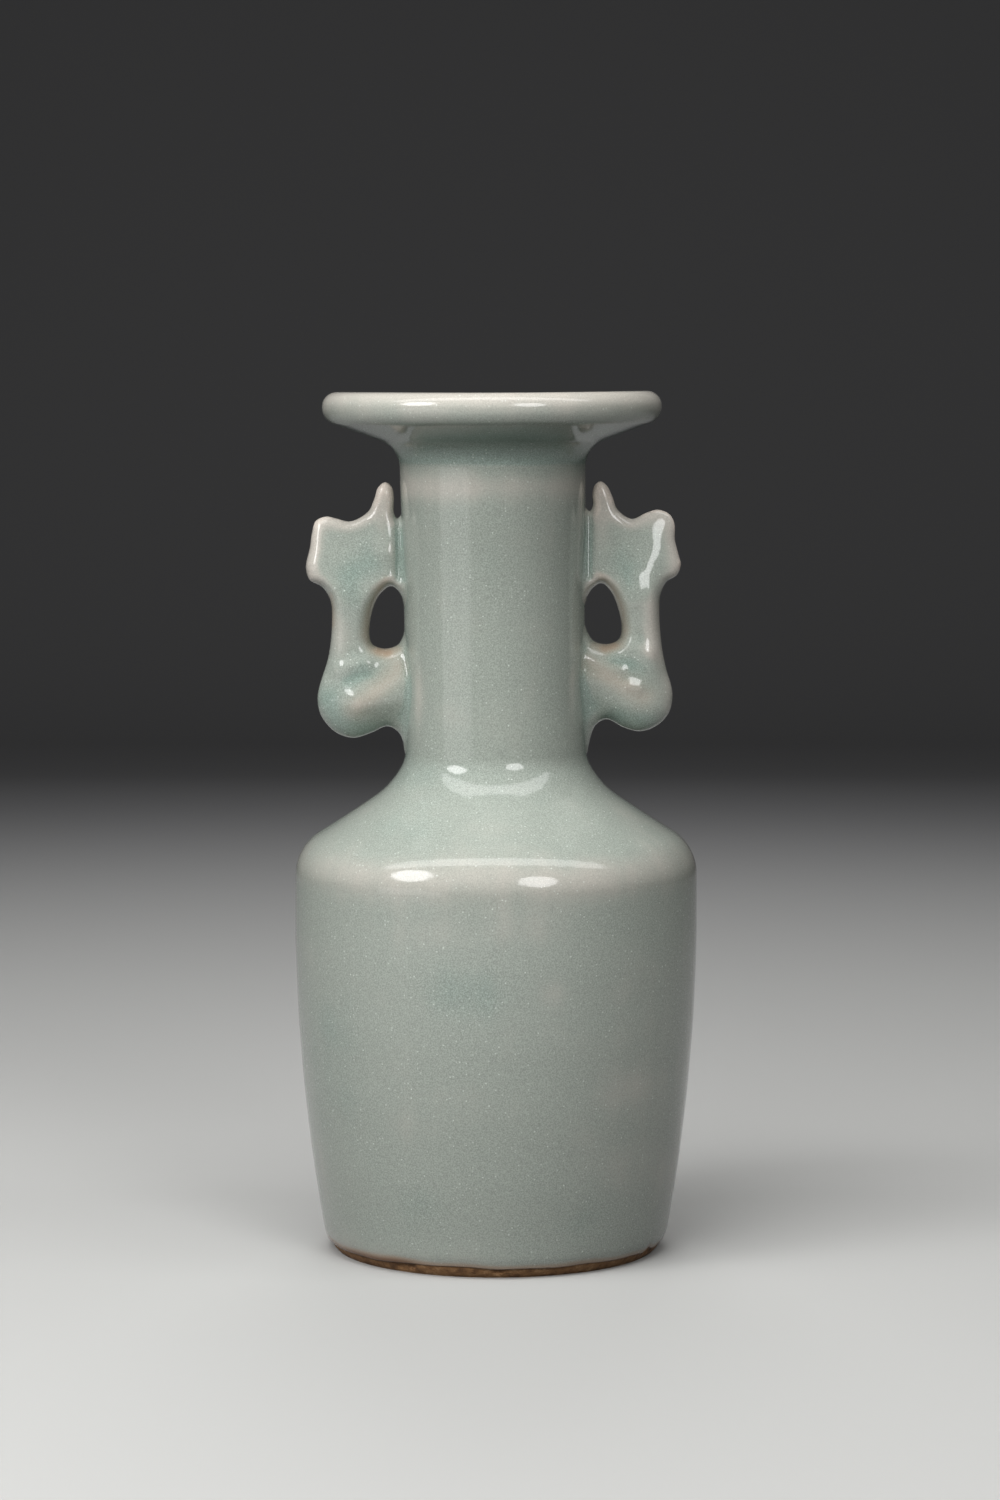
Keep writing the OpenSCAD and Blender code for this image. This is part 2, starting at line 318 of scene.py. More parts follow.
@dataclass(frozen=True)
class CeladonGlaze:
    """Thick bubbly celadon: pale where it thins over edges and green where it pools.

    Soft patches and runs change the depth of glaze that the mesh carries, a fine grain grows with
    it, bubbles catch the light, and iron from the clay shows through. A squeeze says how much
    flatter than wide a pattern is, a swing how much it changes, and a cover how much of it shows.
    """

    # Colours by depth of glaze, and of iron from a blush to burnt
    stops: Sequence[tuple[float, Colour]] = (
        (0.0, pigment(216, 205, 194)),
        (0.25, pigment(187, 183, 174)),
        (0.5, pigment(158, 165, 156)),
        (0.78, pigment(139, 155, 146)),
        (1.0, pigment(114, 136, 124)),
    )
    irons: Sequence[tuple[float, Colour]] = (
        (0.1, pigment(176, 128, 86)),
        (0.9, pigment(104, 72, 49)),
    )
    iron_cover: float = 1.4
    # Soft patches and runs
    cloud_size: float = 24.0 * MM
    cloud_squeeze: float = 1.9
    cloud_swing: float = 0.26
    run_size: float = 5.0 * MM
    run_squeeze: float = 0.3
    run_swing: float = 0.12
    # Bubbles: their spacing, the share of places without one, and where the edge fades
    bubble: Colour = pigment(226, 233, 226)
    bubble_size: float = 0.62 * MM
    bubble_rare: float = 0.8
    bubble_edge: Point = (0.1, 0.34)
    bubble_cover: float = 0.65
    bubble_height: float = 0.25
    # Grain: its size, the noise at its ends, and how much it lightens and darkens
    grain_size: float = 0.25 * MM
    grain_reach: float = 0.3
    grain_swing: float = 0.23
    # Depths of glaze between which the grain grows, and its share at both
    coarse_depth: Point = (0.3, 0.75)
    coarse_share: Point = (0.5, 1.3)
    # Roughness of the fired surface, how much it grows, and the grain over which it does
    gloss: float = 0.07
    gloss_swing: float = 0.04
    gloss_grain: Point = (0.2, 0.8)
    # Fine waves of the surface, and its refractive index
    wave_size: float = 1.4 * MM
    wave_depth: float = 0.022 * MM
    refraction: float = 1.56

    def depth(self, sheet: NodeSheet) -> Socket:
        """Let the depth that the mesh carries drift in soft patches and runs.

        Args:
            sheet: the glaze's nodes.

        Returns:
            The depth of glaze.
        """
        patches = sheet.clouds(self.cloud_size, place=sheet.stretch(self.cloud_squeeze))
        runs = sheet.clouds(self.run_size, 1.0, sheet.stretch(self.run_squeeze))
        drift = sheet.sum("ADD", sheet.swing(patches, self.cloud_swing), sheet.swing(runs, self.run_swing))
        # The mesh's depth also holds painted light and painted shade in a few places.
        return sheet.sum("ADD", sheet.given(DEPTH_AND_LIGHT), drift)

    def bubbles(self, sheet: NodeSheet) -> Socket:
        """Scatter bubbles in the glaze.

        Args:
            sheet: the glaze's nodes.

        Returns:
            1 in the middle of a bubble, and 0 between bubbles.
        """
        cells = sheet.node("ShaderNodeTexVoronoi")
        sheet.feed(cells.inputs["Vector"], sheet.place)
        cells.inputs["Scale"].default_value = 1.0 / self.bubble_size
        lot = sheet.node("ShaderNodeSeparateColor")
        sheet.feed(lot.inputs["Color"], cells.outputs["Color"])
        chosen = sheet.band(lot.outputs["Red"], self.bubble_rare, 1.0, 0.0, 1.0)
        dot = sheet.band(cells.outputs["Distance"], *self.bubble_edge, 1.0, 0.0)
        return sheet.sum("MULTIPLY", dot, chosen)

    def grained(self, sheet: NodeSheet, colour: Socket, grain: Socket, depth: Socket) -> Socket:
        """Lighten and darken a colour with the fine grain, more where the glaze is deep.

        Args:
            sheet: the glaze's nodes.
            colour: the plain colour.
            grain: noise of the grain.
            depth: depth of glaze.

        Returns:
            The grained colour.
        """
        coarse = sheet.band(depth, *self.coarse_depth, *self.coarse_share)
        spread = sheet.sum("MULTIPLY", sheet.sum("SUBTRACT", grain, sheet.NOISE_MEAN), coarse)
        factor = sheet.band(spread, -self.grain_reach, self.grain_reach,
                            1.0 - self.grain_swing, 1.0 + self.grain_swing)
        shade = sheet.node("ShaderNodeVectorMath", operation="SCALE")
        sheet.feed(shade.inputs["Vector"], colour)
        sheet.feed(shade.inputs["Scale"], factor)
        return shade.outputs["Vector"]

    def material(self) -> bpy.types.Material:
        """Build the glaze.

        Returns:
            The material.
        """
        sheet = NodeSheet("celadon_glaze")
        depth = self.depth(sheet)
        bubbles = self.bubbles(sheet)
        grain = sheet.clouds(self.grain_size, 1.0)
        lit = sheet.sum("MULTIPLY", bubbles, self.bubble_cover)
        glazed = sheet.blend(lit, sheet.ramp(depth, self.stops), self.bubble)
        tint = sheet.given(TINT_AND_SHADE)
        cover = sheet.sum("MINIMUM", sheet.sum("MULTIPLY", tint, self.iron_cover), 1.0)
        colour = sheet.blend(cover, self.grained(sheet, glazed, grain, depth), sheet.ramp(tint, self.irons))
        sheet.feed(sheet.shader.inputs["Base Color"], colour)
        rough = sheet.band(grain, *self.gloss_grain, self.gloss, self.gloss + self.gloss_swing)
        sheet.feed(sheet.shader.inputs["Roughness"], rough)
        domes = sheet.sum("MULTIPLY", bubbles, self.bubble_height)
        sheet.relief(sheet.sum("ADD", domes, sheet.clouds(self.wave_size)), self.wave_depth)
        sheet.shader.inputs["IOR"].default_value = self.refraction
        return sheet.material


@dataclass(frozen=True)
class BareClay:
    """Stoneware burnt orange-brown where no glaze covers it, in patches from dark to pale."""

    stops: Sequence[tuple[float, Colour]] = (
        (0.26, pigment(62, 42, 28)),
        (0.4, pigment(112, 80, 53)),
        (0.54, pigment(152, 114, 78)),
        (0.72, pigment(198, 160, 120)),
    )
    patch_size: float = 2.4 * MM
    patch_detail: float = 4.0
    # How much the patches count beside the grit
    patch_share: float = 0.8
    grit_size: float = 0.35 * MM
    grit_detail: float = 3.0
    grit_depth: float = 0.12 * MM
    roughness: float = 0.72

    def material(self) -> bpy.types.Material:
        """Build the clay.

        Returns:
            The material.
        """
        sheet = NodeSheet("bare_clay")
        patches = sheet.clouds(self.patch_size, self.patch_detail)
        grit = sheet.clouds(self.grit_size, self.grit_detail)
        coarse = sheet.sum("MULTIPLY", patches, self.patch_share)
        fine = sheet.sum("MULTIPLY", grit, 1.0 - self.patch_share)
        colour = sheet.ramp(sheet.sum("ADD", coarse, fine), self.stops)
        sheet.feed(sheet.shader.inputs["Base Color"], colour)
        sheet.shader.inputs["Roughness"].default_value = self.roughness
        sheet.relief(grit, self.grit_depth)
        return sheet.material


@dataclass(frozen=True)
class SlipClay:
    """Pale slip that was fired in the seams."""

    stops: Sequence[tuple[float, Colour]] = (
        (0.3, pigment(176, 168, 152)),
        (0.7, pigment(200, 194, 180)),
    )
    patch_size: float = 1.5 * MM
    patch_detail: float = 3.0
    patch_depth: float = 0.05 * MM
    roughness: float = 0.85

    def material(self) -> bpy.types.Material:
        """Build the slip.

        Returns:
            The material.
        """
        sheet = NodeSheet("slip")
        patches = sheet.clouds(self.patch_size, self.patch_detail)
        sheet.feed(sheet.shader.inputs["Base Color"], sheet.ramp(patches, self.stops))
        sheet.shader.inputs["Roughness"].default_value = self.roughness
        sheet.relief(patches, self.patch_depth)
        return sheet.material


@dataclass(frozen=True)
class StudioPaper:
    """Graduated paper of the studio sweep, pale on the floor and greyer behind."""

    # Colours under the vase, behind it, and of the light that the paper throws back
    floor: Colour = pigment(184, 184, 182)
    wall: Colour = pigment(104, 104, 105)
    bounce: Colour = pigment(62, 62, 61)
    # How far behind the vase it starts and ends to turn grey
    fade: Point = (0.04, 0.9)
    roughness: float = 0.9
    shine: float = 0.1

    def material(self) -> bpy.types.Material:
        """Build the paper.

        Returns:
            The material.
        """
        sheet = NodeSheet("studio_paper")
        split = sheet.node("ShaderNodeSeparateXYZ")
        sheet.feed(split.inputs["Vector"], sheet.place)
        far = sheet.band(split.outputs["Y"], *self.fade, 0.0, 1.0)
        shown = sheet.blend(far, self.floor, self.wall)
        ray = sheet.node("ShaderNodeLightPath").outputs
        mirrored = sheet.sum("MAXIMUM", ray["Is Glossy Ray"], ray["Is Transmission Ray"])
        seen = sheet.sum("MAXIMUM", ray["Is Camera Ray"], mirrored)
        sheet.feed(sheet.shader.inputs["Base Color"], sheet.blend(seen, self.bounce, shown))
        sheet.shader.inputs["Roughness"].default_value = self.roughness
        sheet.shader.inputs["Specular IOR Level"].default_value = self.shine
        return sheet.material


# Meshes


@dataclass
class Skin:
    """Points and faces of one piece, with the depth of glaze and the iron tint at each point; in places both
    carry painted shade, and the depth painted light too.

    A piece that is smooth all over has normals by point, and one with sharp seams by face corner.
    """

    points: Array
    quads: Array
    depth: Array
    tint: Array
    point_normals: Optional[Array] = None
    corner_normals: Optional[Array] = None

    def mesh(self, name: str) -> bpy.types.Mesh:
        """Make the mesh, with its normals and what the glaze reads.

        Args:
            name: name of the mesh.

        Returns:
            The mesh.
        """
        made = bpy.data.meshes.new(name)
        made.vertices.add(len(self.points))
        made.vertices.foreach_set("co", self.points.astype(np.float32).ravel())
        made.loops.add(self.quads.size)
        made.loops.foreach_set("vertex_index", self.quads.astype(np.int32).ravel())
        made.polygons.add(len(self.quads))
        starts = np.arange(0, self.quads.size, self.quads.shape[1], dtype=np.int32)
        made.polygons.foreach_set("loop_start", starts)
        made.update(calc_edges=True)
        made.shade_smooth()
        for key, values in ((DEPTH_AND_LIGHT, self.depth), (TINT_AND_SHADE, self.tint)):
            carried = made.attributes.new(key, "FLOAT", "POINT")
            carried.data.foreach_set("value", values.astype(np.float32).ravel())
        if self.point_normals is not None:
            made.normals_split_custom_set_from_vertices(self.point_normals.tolist())
        if self.corner_normals is not None:
            made.normals_split_custom_set(self.corner_normals.reshape(-1, 3).tolist())
        return made

    def piece(self, name: str, material: bpy.types.Material, slot: str,
              nodes: Sequence[str]) -> bpy.types.Object:
        """Make the visual piece that stands for some nodes of the frame.

        Args:
            name: name of the piece.
            material: its finish.
            slot: not used.
            nodes: the frame's nodes that it replaces.

        Returns:
            The piece, riding on the frame.
        """
        mesh = self.mesh(name)
        mesh.materials.append(material)
        made = bpy.data.objects.new(name, mesh)
        bpy.context.scene.collection.objects.link(made)
        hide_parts(*nodes)
        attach(made, BODY)
        return made


@dataclass
class Stretch:
    """Rows of points round the axis that follow one another along a wall.

    Depth and tint go by row and turn. Where the faces are flat there are no normals.
    """

    points: Array
    normals: Optional[Array]
    depth: Array
    tint: Array


def face_normals(points: Array, quads: Array) -> Array:
    """Give the normal of each face from its two diagonals."""
    first, second, third, fourth = (points[quads[:, corner]] for corner in range(4))
    return unit(np.cross(third - first, fourth - second))


def closed_ring(stretches: Sequence[Stretch]) -> Skin:
    """Join stretches one after the other, and the last to the first, into a closed ring.

    Args:
        stretches: the stretches in order, outside up and inside down.

    Returns:
        The skin of the ring.
    """
    points = np.concatenate([s.points for s in stretches])
    rows, turns = points.shape[:2]
    owners = np.concatenate([np.full(len(s.points), n) for n, s in enumerate(stretches)])
    normals = np.concatenate([np.zeros_like(s.points) if s.normals is None else s.normals for s in stretches])
    smooth = np.array([s.normals is not None for s in stretches])
    low = np.arange(rows)
    high = (low + 1) % rows
    here = np.arange(turns)
    ahead = (here + 1) % turns
    quads = np.stack([
        low[:, None] * turns + here, low[:, None] * turns + ahead,
        high[:, None] * turns + ahead, high[:, None] * turns + here,
    ], axis=-1).reshape(-1, 4)
    places = points.reshape(-1, 3)
    corners = normals.reshape(-1, 3)[quads]
    is_skin = np.repeat((owners[low] == owners[high]) & smooth[owners[low]] & (high > low), turns)
    corners[~is_skin] = face_normals(places, quads[~is_skin])[:, None, :]
    depth, tint = (np.concatenate([getattr(s, key) for s in stretches]).ravel() for key in ("depth", "tint"))
    return Skin(places, quads, depth, tint, corner_normals=corners)


# Thrown vase


@dataclass(frozen=True)
class Wave:
    """A wave round the axis that may twist as it climbs, by one radian over its pitch."""

    size: float
    count: float
    phase: float = 0.0
    pitch: float = math.inf

    def at(self, turn: Array, z: Array = 0.0) -> Array:
        """Give the wave at some angles and heights."""
        return self.size * np.sin(self.count * turn + z / self.pitch + self.phase)


class Place(Enum):
    """Named places along the wall's section."""

    GLAZE_EDGE = "edge of the glaze above the foot"
    EDGE_SEAM = "seam of barrel and shoulder, outside"
    NECK_FOOT = "seam of shoulder and neck, outside"
    NECK_TOP = "seam of neck and mouth, outside"
    RIM = "top of the lip"
    BORE_TOP = "seam of neck and mouth, inside"
    BORE_FOOT = "seam of shoulder and neck, inside"
    EDGE_INSIDE = "seam of barrel and shoulder, inside"
    FLOOR = "foot of the wall, inside"


class Seam(Enum):
    """Luted seams, each with its places outside and inside."""

    EDGE = (Place.EDGE_SEAM, Place.EDGE_INSIDE)
    NECK = (Place.NECK_FOOT, Place.BORE_FOOT)
    MOUTH = (Place.NECK_TOP, Place.BORE_TOP)


class SeamSide(Enum):
    """On which side of its seam a piece lies, as a sign of height."""

    ABOVE = 1.0
    BELOW = -1.0


class Pace(Enum):
    """Longest distance between the points of a section, by the kind of stretch."""

    BEAD = 0.08 * MM
    LIP = 0.2 * MM
    WORN = 0.25 * MM
    TIGHT = 0.3 * MM
    ROUND = 0.4 * MM
    SOFT = 0.45 * MM
    THROAT = 0.5 * MM
    PLAIN = 0.6 * MM
    NECK = 0.7 * MM
    BROAD = 1.0 * MM
    SEAT = 1.5 * MM
    INSIDE = 2.0 * MM
    SWEEP = 30.0 * MM
    PAPER = 400.0 * MM


class Section:
    """Points of a section as radius and height, with named places along it."""

    def __init__(self, start: Point) -> None:
        """Start at a point, given by its radius and height."""
        self.points: list[Point] = [start]
        self.marks: dict[Place, int] = {}

    def mark(self, place: Place) -> None:
        """Name the place reached so far."""
        self.marks[place] = len(self.points) - 1

    def at(self, place: Place) -> Point:
        """Give the radius and height of a named place."""
        return self.points[self.marks[place]]

    def line(self, end: Point, pace: Pace = Pace.PLAIN) -> None:
        """Go straight on to a point.

        Args:
            end: radius and height of the point.
            pace: longest distance between points.
        """
        start = self.points[-1]
        count = max(1, math.ceil(math.dist(start, end) / pace.value))
        for n in range(1, count + 1):
            self.points.append(tuple(a + (b - a) * n / count for a, b in zip(start, end)))

    def arc(self, centre: Point, radius: float, start: float, stop: float, pace: Pace) -> None:
        """Follow an arc, after a line to its start if that lies further on.

        Args:
            centre: radius and height of the arc's centre.
            radius: radius of the arc.
            start: first angle in degrees.
            stop: last angle in degrees.
            pace: longest distance between points.
        """
        first = on_circle(centre, radius, start)
        if math.dist(self.points[-1], first) > NEAR:
            self.line(first)
        count = max(2, math.ceil(radius * math.radians(abs(stop - start)) / pace.value))
        for n in range(1, count + 1):
            self.points.append(on_circle(centre, radius, start + (stop - start) * n / count))

    def curve(self, end: Point, leave: float, arrive: float, pace: Pace = Pace.PLAIN) -> None:
        """Follow a smooth curve to a point.

        Args:
            end: radius and height of the point.
            leave: direction at the start, in degrees.
            arrive: direction at the end, in degrees.
            pace: longest distance between points.
        """
        start = self.points[-1]
        length = math.dist(start, end)
        pulls = (start, on_circle(start, length / 3.0, leave), on_circle(end, -length / 3.0, arrive), end)
        count = max(2, math.ceil(length / pace.value))
        for n in range(1, count + 1):
            t, s = n / count, 1.0 - n / count
            shares = (s**3, 3.0 * s * s * t, 3.0 * s * t * t, t**3)
            self.points.append(tuple(sum(share * pull[k] for share, pull in zip(shares, pulls))
                                     for k in range(2)))


@dataclass
class ThrownForm:
    """Sizes of the thrown wall; its heights and main radii are read from the frame.

    Names that end in _r are radii and those in _z heights. Slopes and turns are in degrees.
    """

    # How far the skin stays inside the frame's faces
    hair: float = 0.05 * MM
    # Barrel: its bow, how far the widest place lies below the seam, and the heel's rounding
    bow_r: float = 355.0 * MM
    belly_drop: float = 6.5 * MM
    heel_h: float = 4.5 * MM
    heel_r: float = 9.0 * MM
    # Rolled edge of the glaze above the foot, and where its round ends
    bead: float = 0.3 * MM
    bead_turn: float = -35.0
    # Shoulder: its edge, how far the bow runs on above the seam, and the slopes at both ends
    edge_r: float = 9.6 * MM
    edge_lift: float = 1.35 * MM
    edge_slope: float = 31.6
    shoulder_slope: float = 34.6
    # Rise to the neck: its lower part, and its upper part with that one's turn
    rise_r: float = 17.4 * MM
    crook_r: float = 6.5 * MM
    crook_turn: float = 28.0
    # Shoulder's edge and rise inside
    inner_edge_r: float = 7.5 * MM
    inner_rise_r: float = 13.3 * MM
    # Neck: how much it narrows in the middle and widens to the top
    waist: float = 0.27 * MM
    spread: float = 0.42 * MM
    # Lean of the neck per length, how far below it that starts, and over what height
    lean: float = -0.0115
    lean_start: float = 4.0 * MM
    lean_soft: float = 12.0 * MM
    # Dish mouth and lip
    flare_r: float = 6.0 * MM
    dish_slope: float = 19.5
    lip_under_r: float = 3.5 * MM
    lip_top_r: float = 2.9 * MM
    lip_w: float = 5.0 * MM
    lip_inner_r: float = 1.6 * MM
    lip_inner_turn: float = 150.0
    # How much the rim dips at front and back, and the dip's phase in radians
    rim_dip: float = 0.12 * MM
    rim_dip_phase: float = 0.2
    # How much shoulder and rim rise to the right per length, and where that starts
    tilt: float = 0.004
    tilt_start: float = 20.0 * MM
    # Walls, and the turn between dish and bore
    barrel_wall: float = 4.5 * MM
    neck_wall: float = 3.8 * MM
    dish_wall: float = 3.8 * MM
    throat_r: float = 9.0 * MM
    # Slip in a seam, and the wall left on each side of it
    slip_t: float = 0.8 * MM
    seam_skin: float = 1.1 * MM
    # Sizes that the frame fixes
    foot_z: float = field(init=False)
    belly_r: float = field(init=False)
    belly_z: float = field(init=False)
    barrel_top: float = field(init=False)
    neck_r: float = field(init=False)
    neck_foot: float = field(init=False)
    neck_top: float = field(init=False)
    mouth_r: float = field(init=False)
    rim_z: float = field(init=False)
    floor_z: float = field(init=False)
    seat_r: float = field(init=False)

    def __post_init__(self) -> None:
        """Read the sizes that the frame fixes."""
        barrel_low, barrel_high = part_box("barrel")
        neck_low, neck_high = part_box("neck")
        mouth_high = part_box("dish_mouth")[1]
        base_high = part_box("base_disc")[1]
        self.foot_z = barrel_low.z
        self.belly_r = barrel_high.x - self.hair
        self.barrel_top = barrel_high.z
        self.belly_z = self.barrel_top - self.belly_drop
        self.neck_r = neck_high.x
        self.neck_foot = neck_low.z
        self.neck_top = neck_high.z
        self.mouth_r = mouth_high.x
        self.rim_z = mouth_high.z - self.hair
        self.floor_z = base_high.z
        self.seat_r = base_high.x

    @property
    def bow_centre(self) -> Point:
        """Give the centre of the barrel's bow."""
        return (self.belly_r - self.bow_r, self.belly_z)

    @property
    def heel_centre(self) -> Point:
        """Give the centre of the heel's rounding, which meets the bow."""
        return on_circle((self.bow_at(self.heel_h), self.heel_h), -self.heel_r, self.bow_angle(self.heel_h))

    @property
    def flare_centre(self) -> Point:
        """Give the centre of the flare under the dish."""
        return (self.neck_r + self.spread + self.flare_r, self.neck_top)

    @property
    def bore_r(self) -> float:
        """Give the radius of the neck's bore."""
        return self.neck_r - self.neck_wall

    def bow_at(self, z: float) -> float:
        """Give the barrel's radius at a height."""
        return self.belly_r - self.bow_r + math.sqrt(self.bow_r**2 - (z - self.belly_z) ** 2)

    def bow_angle(self, z: float) -> float:
        """Give the angle on the barrel's bow at a height, in degrees."""
        return math.degrees(math.asin((z - self.belly_z) / self.bow_r))

    def heel_at(self, z: float) -> float:
        """Give the radius at a height below the heel's rounding."""
        centre = self.heel_centre
        return centre[0] + math.sqrt(self.heel_r**2 - (z - centre[1]) ** 2)

    def neck_at(self, z: Array) -> Array:
        """Give the neck's radius at some heights."""
        share = np.clip((z - self.neck_foot) / (self.neck_top - self.neck_foot), 0.0, 1.0)
        return self.neck_r + self.spread * share - self.waist * 4.0 * share * (1.0 - share)

    def dish_at(self, r: float) -> float:
        """Give the height of the dish's underside at a radius."""
        start_r, start_z = on_circle(self.flare_centre, self.flare_r, QUARTER + self.dish_slope)
        return start_z + (r - start_r) * math.tan(math.radians(self.dish_slope))

    def axis_at(self, z: Array) -> Array:
        """Give the sideways place of the leaning neck's axis.

        Args:
            z: heights.

        Returns:
            The x of the axis at each height.
        """
        soft = self.lean_soft
        rise = np.maximum(z - self.neck_foot + self.lean_start, 0.0)
        return self.lean * np.where(rise < soft, rise**2 / (2.0 * soft), rise - soft / 2.0)

    def section(self) -> Section:
        """Draw the wall from the glaze's edge up the outside, over the lip and down the inside.

        Returns:
            The section with its named places.
        """
        made = Section((self.heel_at(self.foot_z) - 2.0 * self.bead, self.foot_z))
        made.mark(Place.GLAZE_EDGE)
        self.draw_barrel(made)
        self.draw_shoulder(made)
        self.draw_neck_and_lip(made)
        self.draw_inside(made)
        return made

    def draw_barrel(self, made: Section) -> None:
        """Go on from the glaze's rolled edge over heel and bow to the shoulder seam.

        Args:
            made: the section so far.
        """
        bead_top = self.foot_z + self.bead
        bead_centre = (self.heel_at(bead_top) - self.bead, bead_top)
        made.arc(bead_centre, self.bead, -QUARTER, self.bead_turn, Pace.BEAD)
        centre = self.heel_centre
        heel_start = math.degrees(math.asin((bead_top - centre[1]) / self.heel_r))
        heel_stop = self.bow_angle(self.heel_h)
        made.arc(centre, self.heel_r, heel_start, heel_stop, Pace.ROUND)
        made.arc(self.bow_centre, self.bow_r, heel_stop, self.bow_angle(self.barrel_top), Pace.BROAD)
        made.mark(Place.EDGE_SEAM)

    def draw_shoulder(self, made: Section) -> None:
        """Go on over the shoulder's edge and up its slope to the neck.

        Args:
            made: the section so far.
        """
        edge_z = self.barrel_top + self.edge_lift
        edge_turn = self.bow_angle(edge_z)
        made.arc(self.bow_centre, self.bow_r, self.bow_angle(self.barrel_top), edge_turn, Pace.SOFT)
        edge_centre = on_circle((self.bow_at(edge_z), edge_z), -self.edge_r, edge_turn)
        made.arc(edge_centre, self.edge_r, edge_turn, QUARTER - self.edge_slope, Pace.SOFT)
        normal = QUARTER - self.shoulder_slope
        crook_centre = (self.neck_r + self.crook_r, self.neck_foot)
        rise_centre = on_circle(crook_centre, self.rise_r - self.crook_r, self.crook_turn)
        rise_start = on_circle(rise_centre, -self.rise_r, normal)
        made.curve(rise_start, HALF - self.edge_slope, HALF - self.shoulder_slope)
        made.arc(rise_centre, self.rise_r, HALF + normal, HALF + self.crook_turn, Pace.SOFT)
        made.arc(crook_centre, self.crook_r, HALF + self.crook_turn, HALF, Pace.TIGHT)
        made.mark(Place.NECK_FOOT)

    def draw_neck_and_lip(self, made: Section) -> None:
        """Go on up the neck and out under the dish to the top of the lip.

        Args:
            made: the section so far.
        """
        foot = len(made.points) - 1
        made.line((self.neck_r, self.neck_top), Pace.NECK)
        made.points[foot:] = [(float(self.neck_at(np.array(z))), z) for _, z in made.points[foot:]]
        made.mark(Place.NECK_TOP)
        made.arc(self.flare_centre, self.flare_r, HALF, QUARTER + self.dish_slope, Pace.ROUND)
        lip_turn = self.dish_slope - QUARTER
        under_r = self.mouth_r - self.lip_under_r
        reach, drop = on_circle((under_r, 0.0), self.lip_under_r, lip_turn)
        made.arc((under_r, self.dish_at(reach) - drop), self.lip_under_r, lip_turn, 0.0, Pace.TIGHT)
        top_centre = (self.mouth_r - self.lip_top_r, self.rim_z - self.lip_top_r)
        made.arc(top_centre, self.lip_top_r, 0.0, QUARTER, Pace.LIP)
        made.mark(Place.RIM)

    def draw_inside(self, made: Section) -> None:
        """Go on over the lip into the dish and down the bore to the floor.

        Args:
            made: the section so far.
        """
        inner_centre = (self.mouth_r - self.lip_w + self.lip_inner_r, self.rim_z - self.lip_inner_r)
        made.arc(inner_centre, self.lip_inner_r, QUARTER, self.lip_inner_turn, Pace.LIP)
        throat_turn = QUARTER + self.dish_slope
        reach, rise = on_circle((self.bore_r + self.throat_r, 0.0), self.throat_r, throat_turn)
        throat_z = self.dish_at(reach) + self.dish_wall / math.cos(math.radians(self.dish_slope))
        throat_centre = (self.bore_r + self.throat_r, throat_z - rise)
        made.arc(throat_centre, self.throat_r, throat_turn, HALF, Pace.THROAT)
        made.line((self.bore_r, self.neck_top))
        made.mark(Place.BORE_TOP)
        made.line((self.bore_r, self.neck_foot), Pace.INSIDE)
        made.mark(Place.BORE_FOOT)
        normal = QUARTER - self.shoulder_slope
        rise_centre = (self.bore_r + self.inner_rise_r, self.neck_foot)
        made.arc(rise_centre, self.inner_rise_r, HALF, HALF + normal, Pace.BROAD)
        edge_centre = (self.bow_at(self.barrel_top) - self.barrel_wall - self.inner_edge_r, self.barrel_top)
        made.arc(edge_centre, self.inner_edge_r, normal, 0.0, Pace.BROAD)
        made.mark(Place.EDGE_INSIDE)
        bow_centre = (self.bow_centre[0] - self.barrel_wall, self.belly_z)
        seam, floor = self.bow_angle(self.barrel_top), self.bow_angle(self.floor_z)
        made.arc(bow_centre, self.bow_r, seam, floor, Pace.INSIDE)
        made.line((self.seat_r, self.floor_z))
        made.mark(Place.FLOOR)


class Level(Enum):
    """Heights of the thrown form, by the name of their size."""

    FOOT = "foot_z"
    BARREL_TOP = "barrel_top"
    NECK_FOOT = "neck_foot"
    NECK_TOP = "neck_top"
    RIM = "rim_z"


@dataclass(frozen=True)
class GlazeBand:
    """A soft band round the wall, at an offset above a level, that deepens the glaze by its lift.

    Where the lift is less than 0 the glaze is thin; on some bands this is painted light.
    """

    level: Level
    offset: float
    width: float
    lift: float

    def at(self, form: ThrownForm, z: Array) -> Array:
        """Give the change of depth at some heights."""
        return self.lift * swell(z, getattr(form, self.level.value) + self.offset, self.width)


@dataclass(frozen=True)
class GlazePatch:
    """A soft patch on the wall that deepens the glaze by its lift, or thins it below 0.

    Its turn is in degrees to the right of the front.
    """

    turn: float
    height: float
    width: float
    tall: float
    lift: float

    def at(self, points: Array) -> Array:
        """Work out how much the patch deepens the glaze.

        Args:
            points: points of the wall.

        Returns:
            The change of depth at each point.
        """
        x, y, z = np.moveaxis(points, -1, 0)
        away = wrapped(np.arctan2(x, -y) - math.radians(self.turn)) * np.hypot(x, y)
        return self.lift * swell(away, 0.0, self.width) * swell(z, self.height, self.tall)


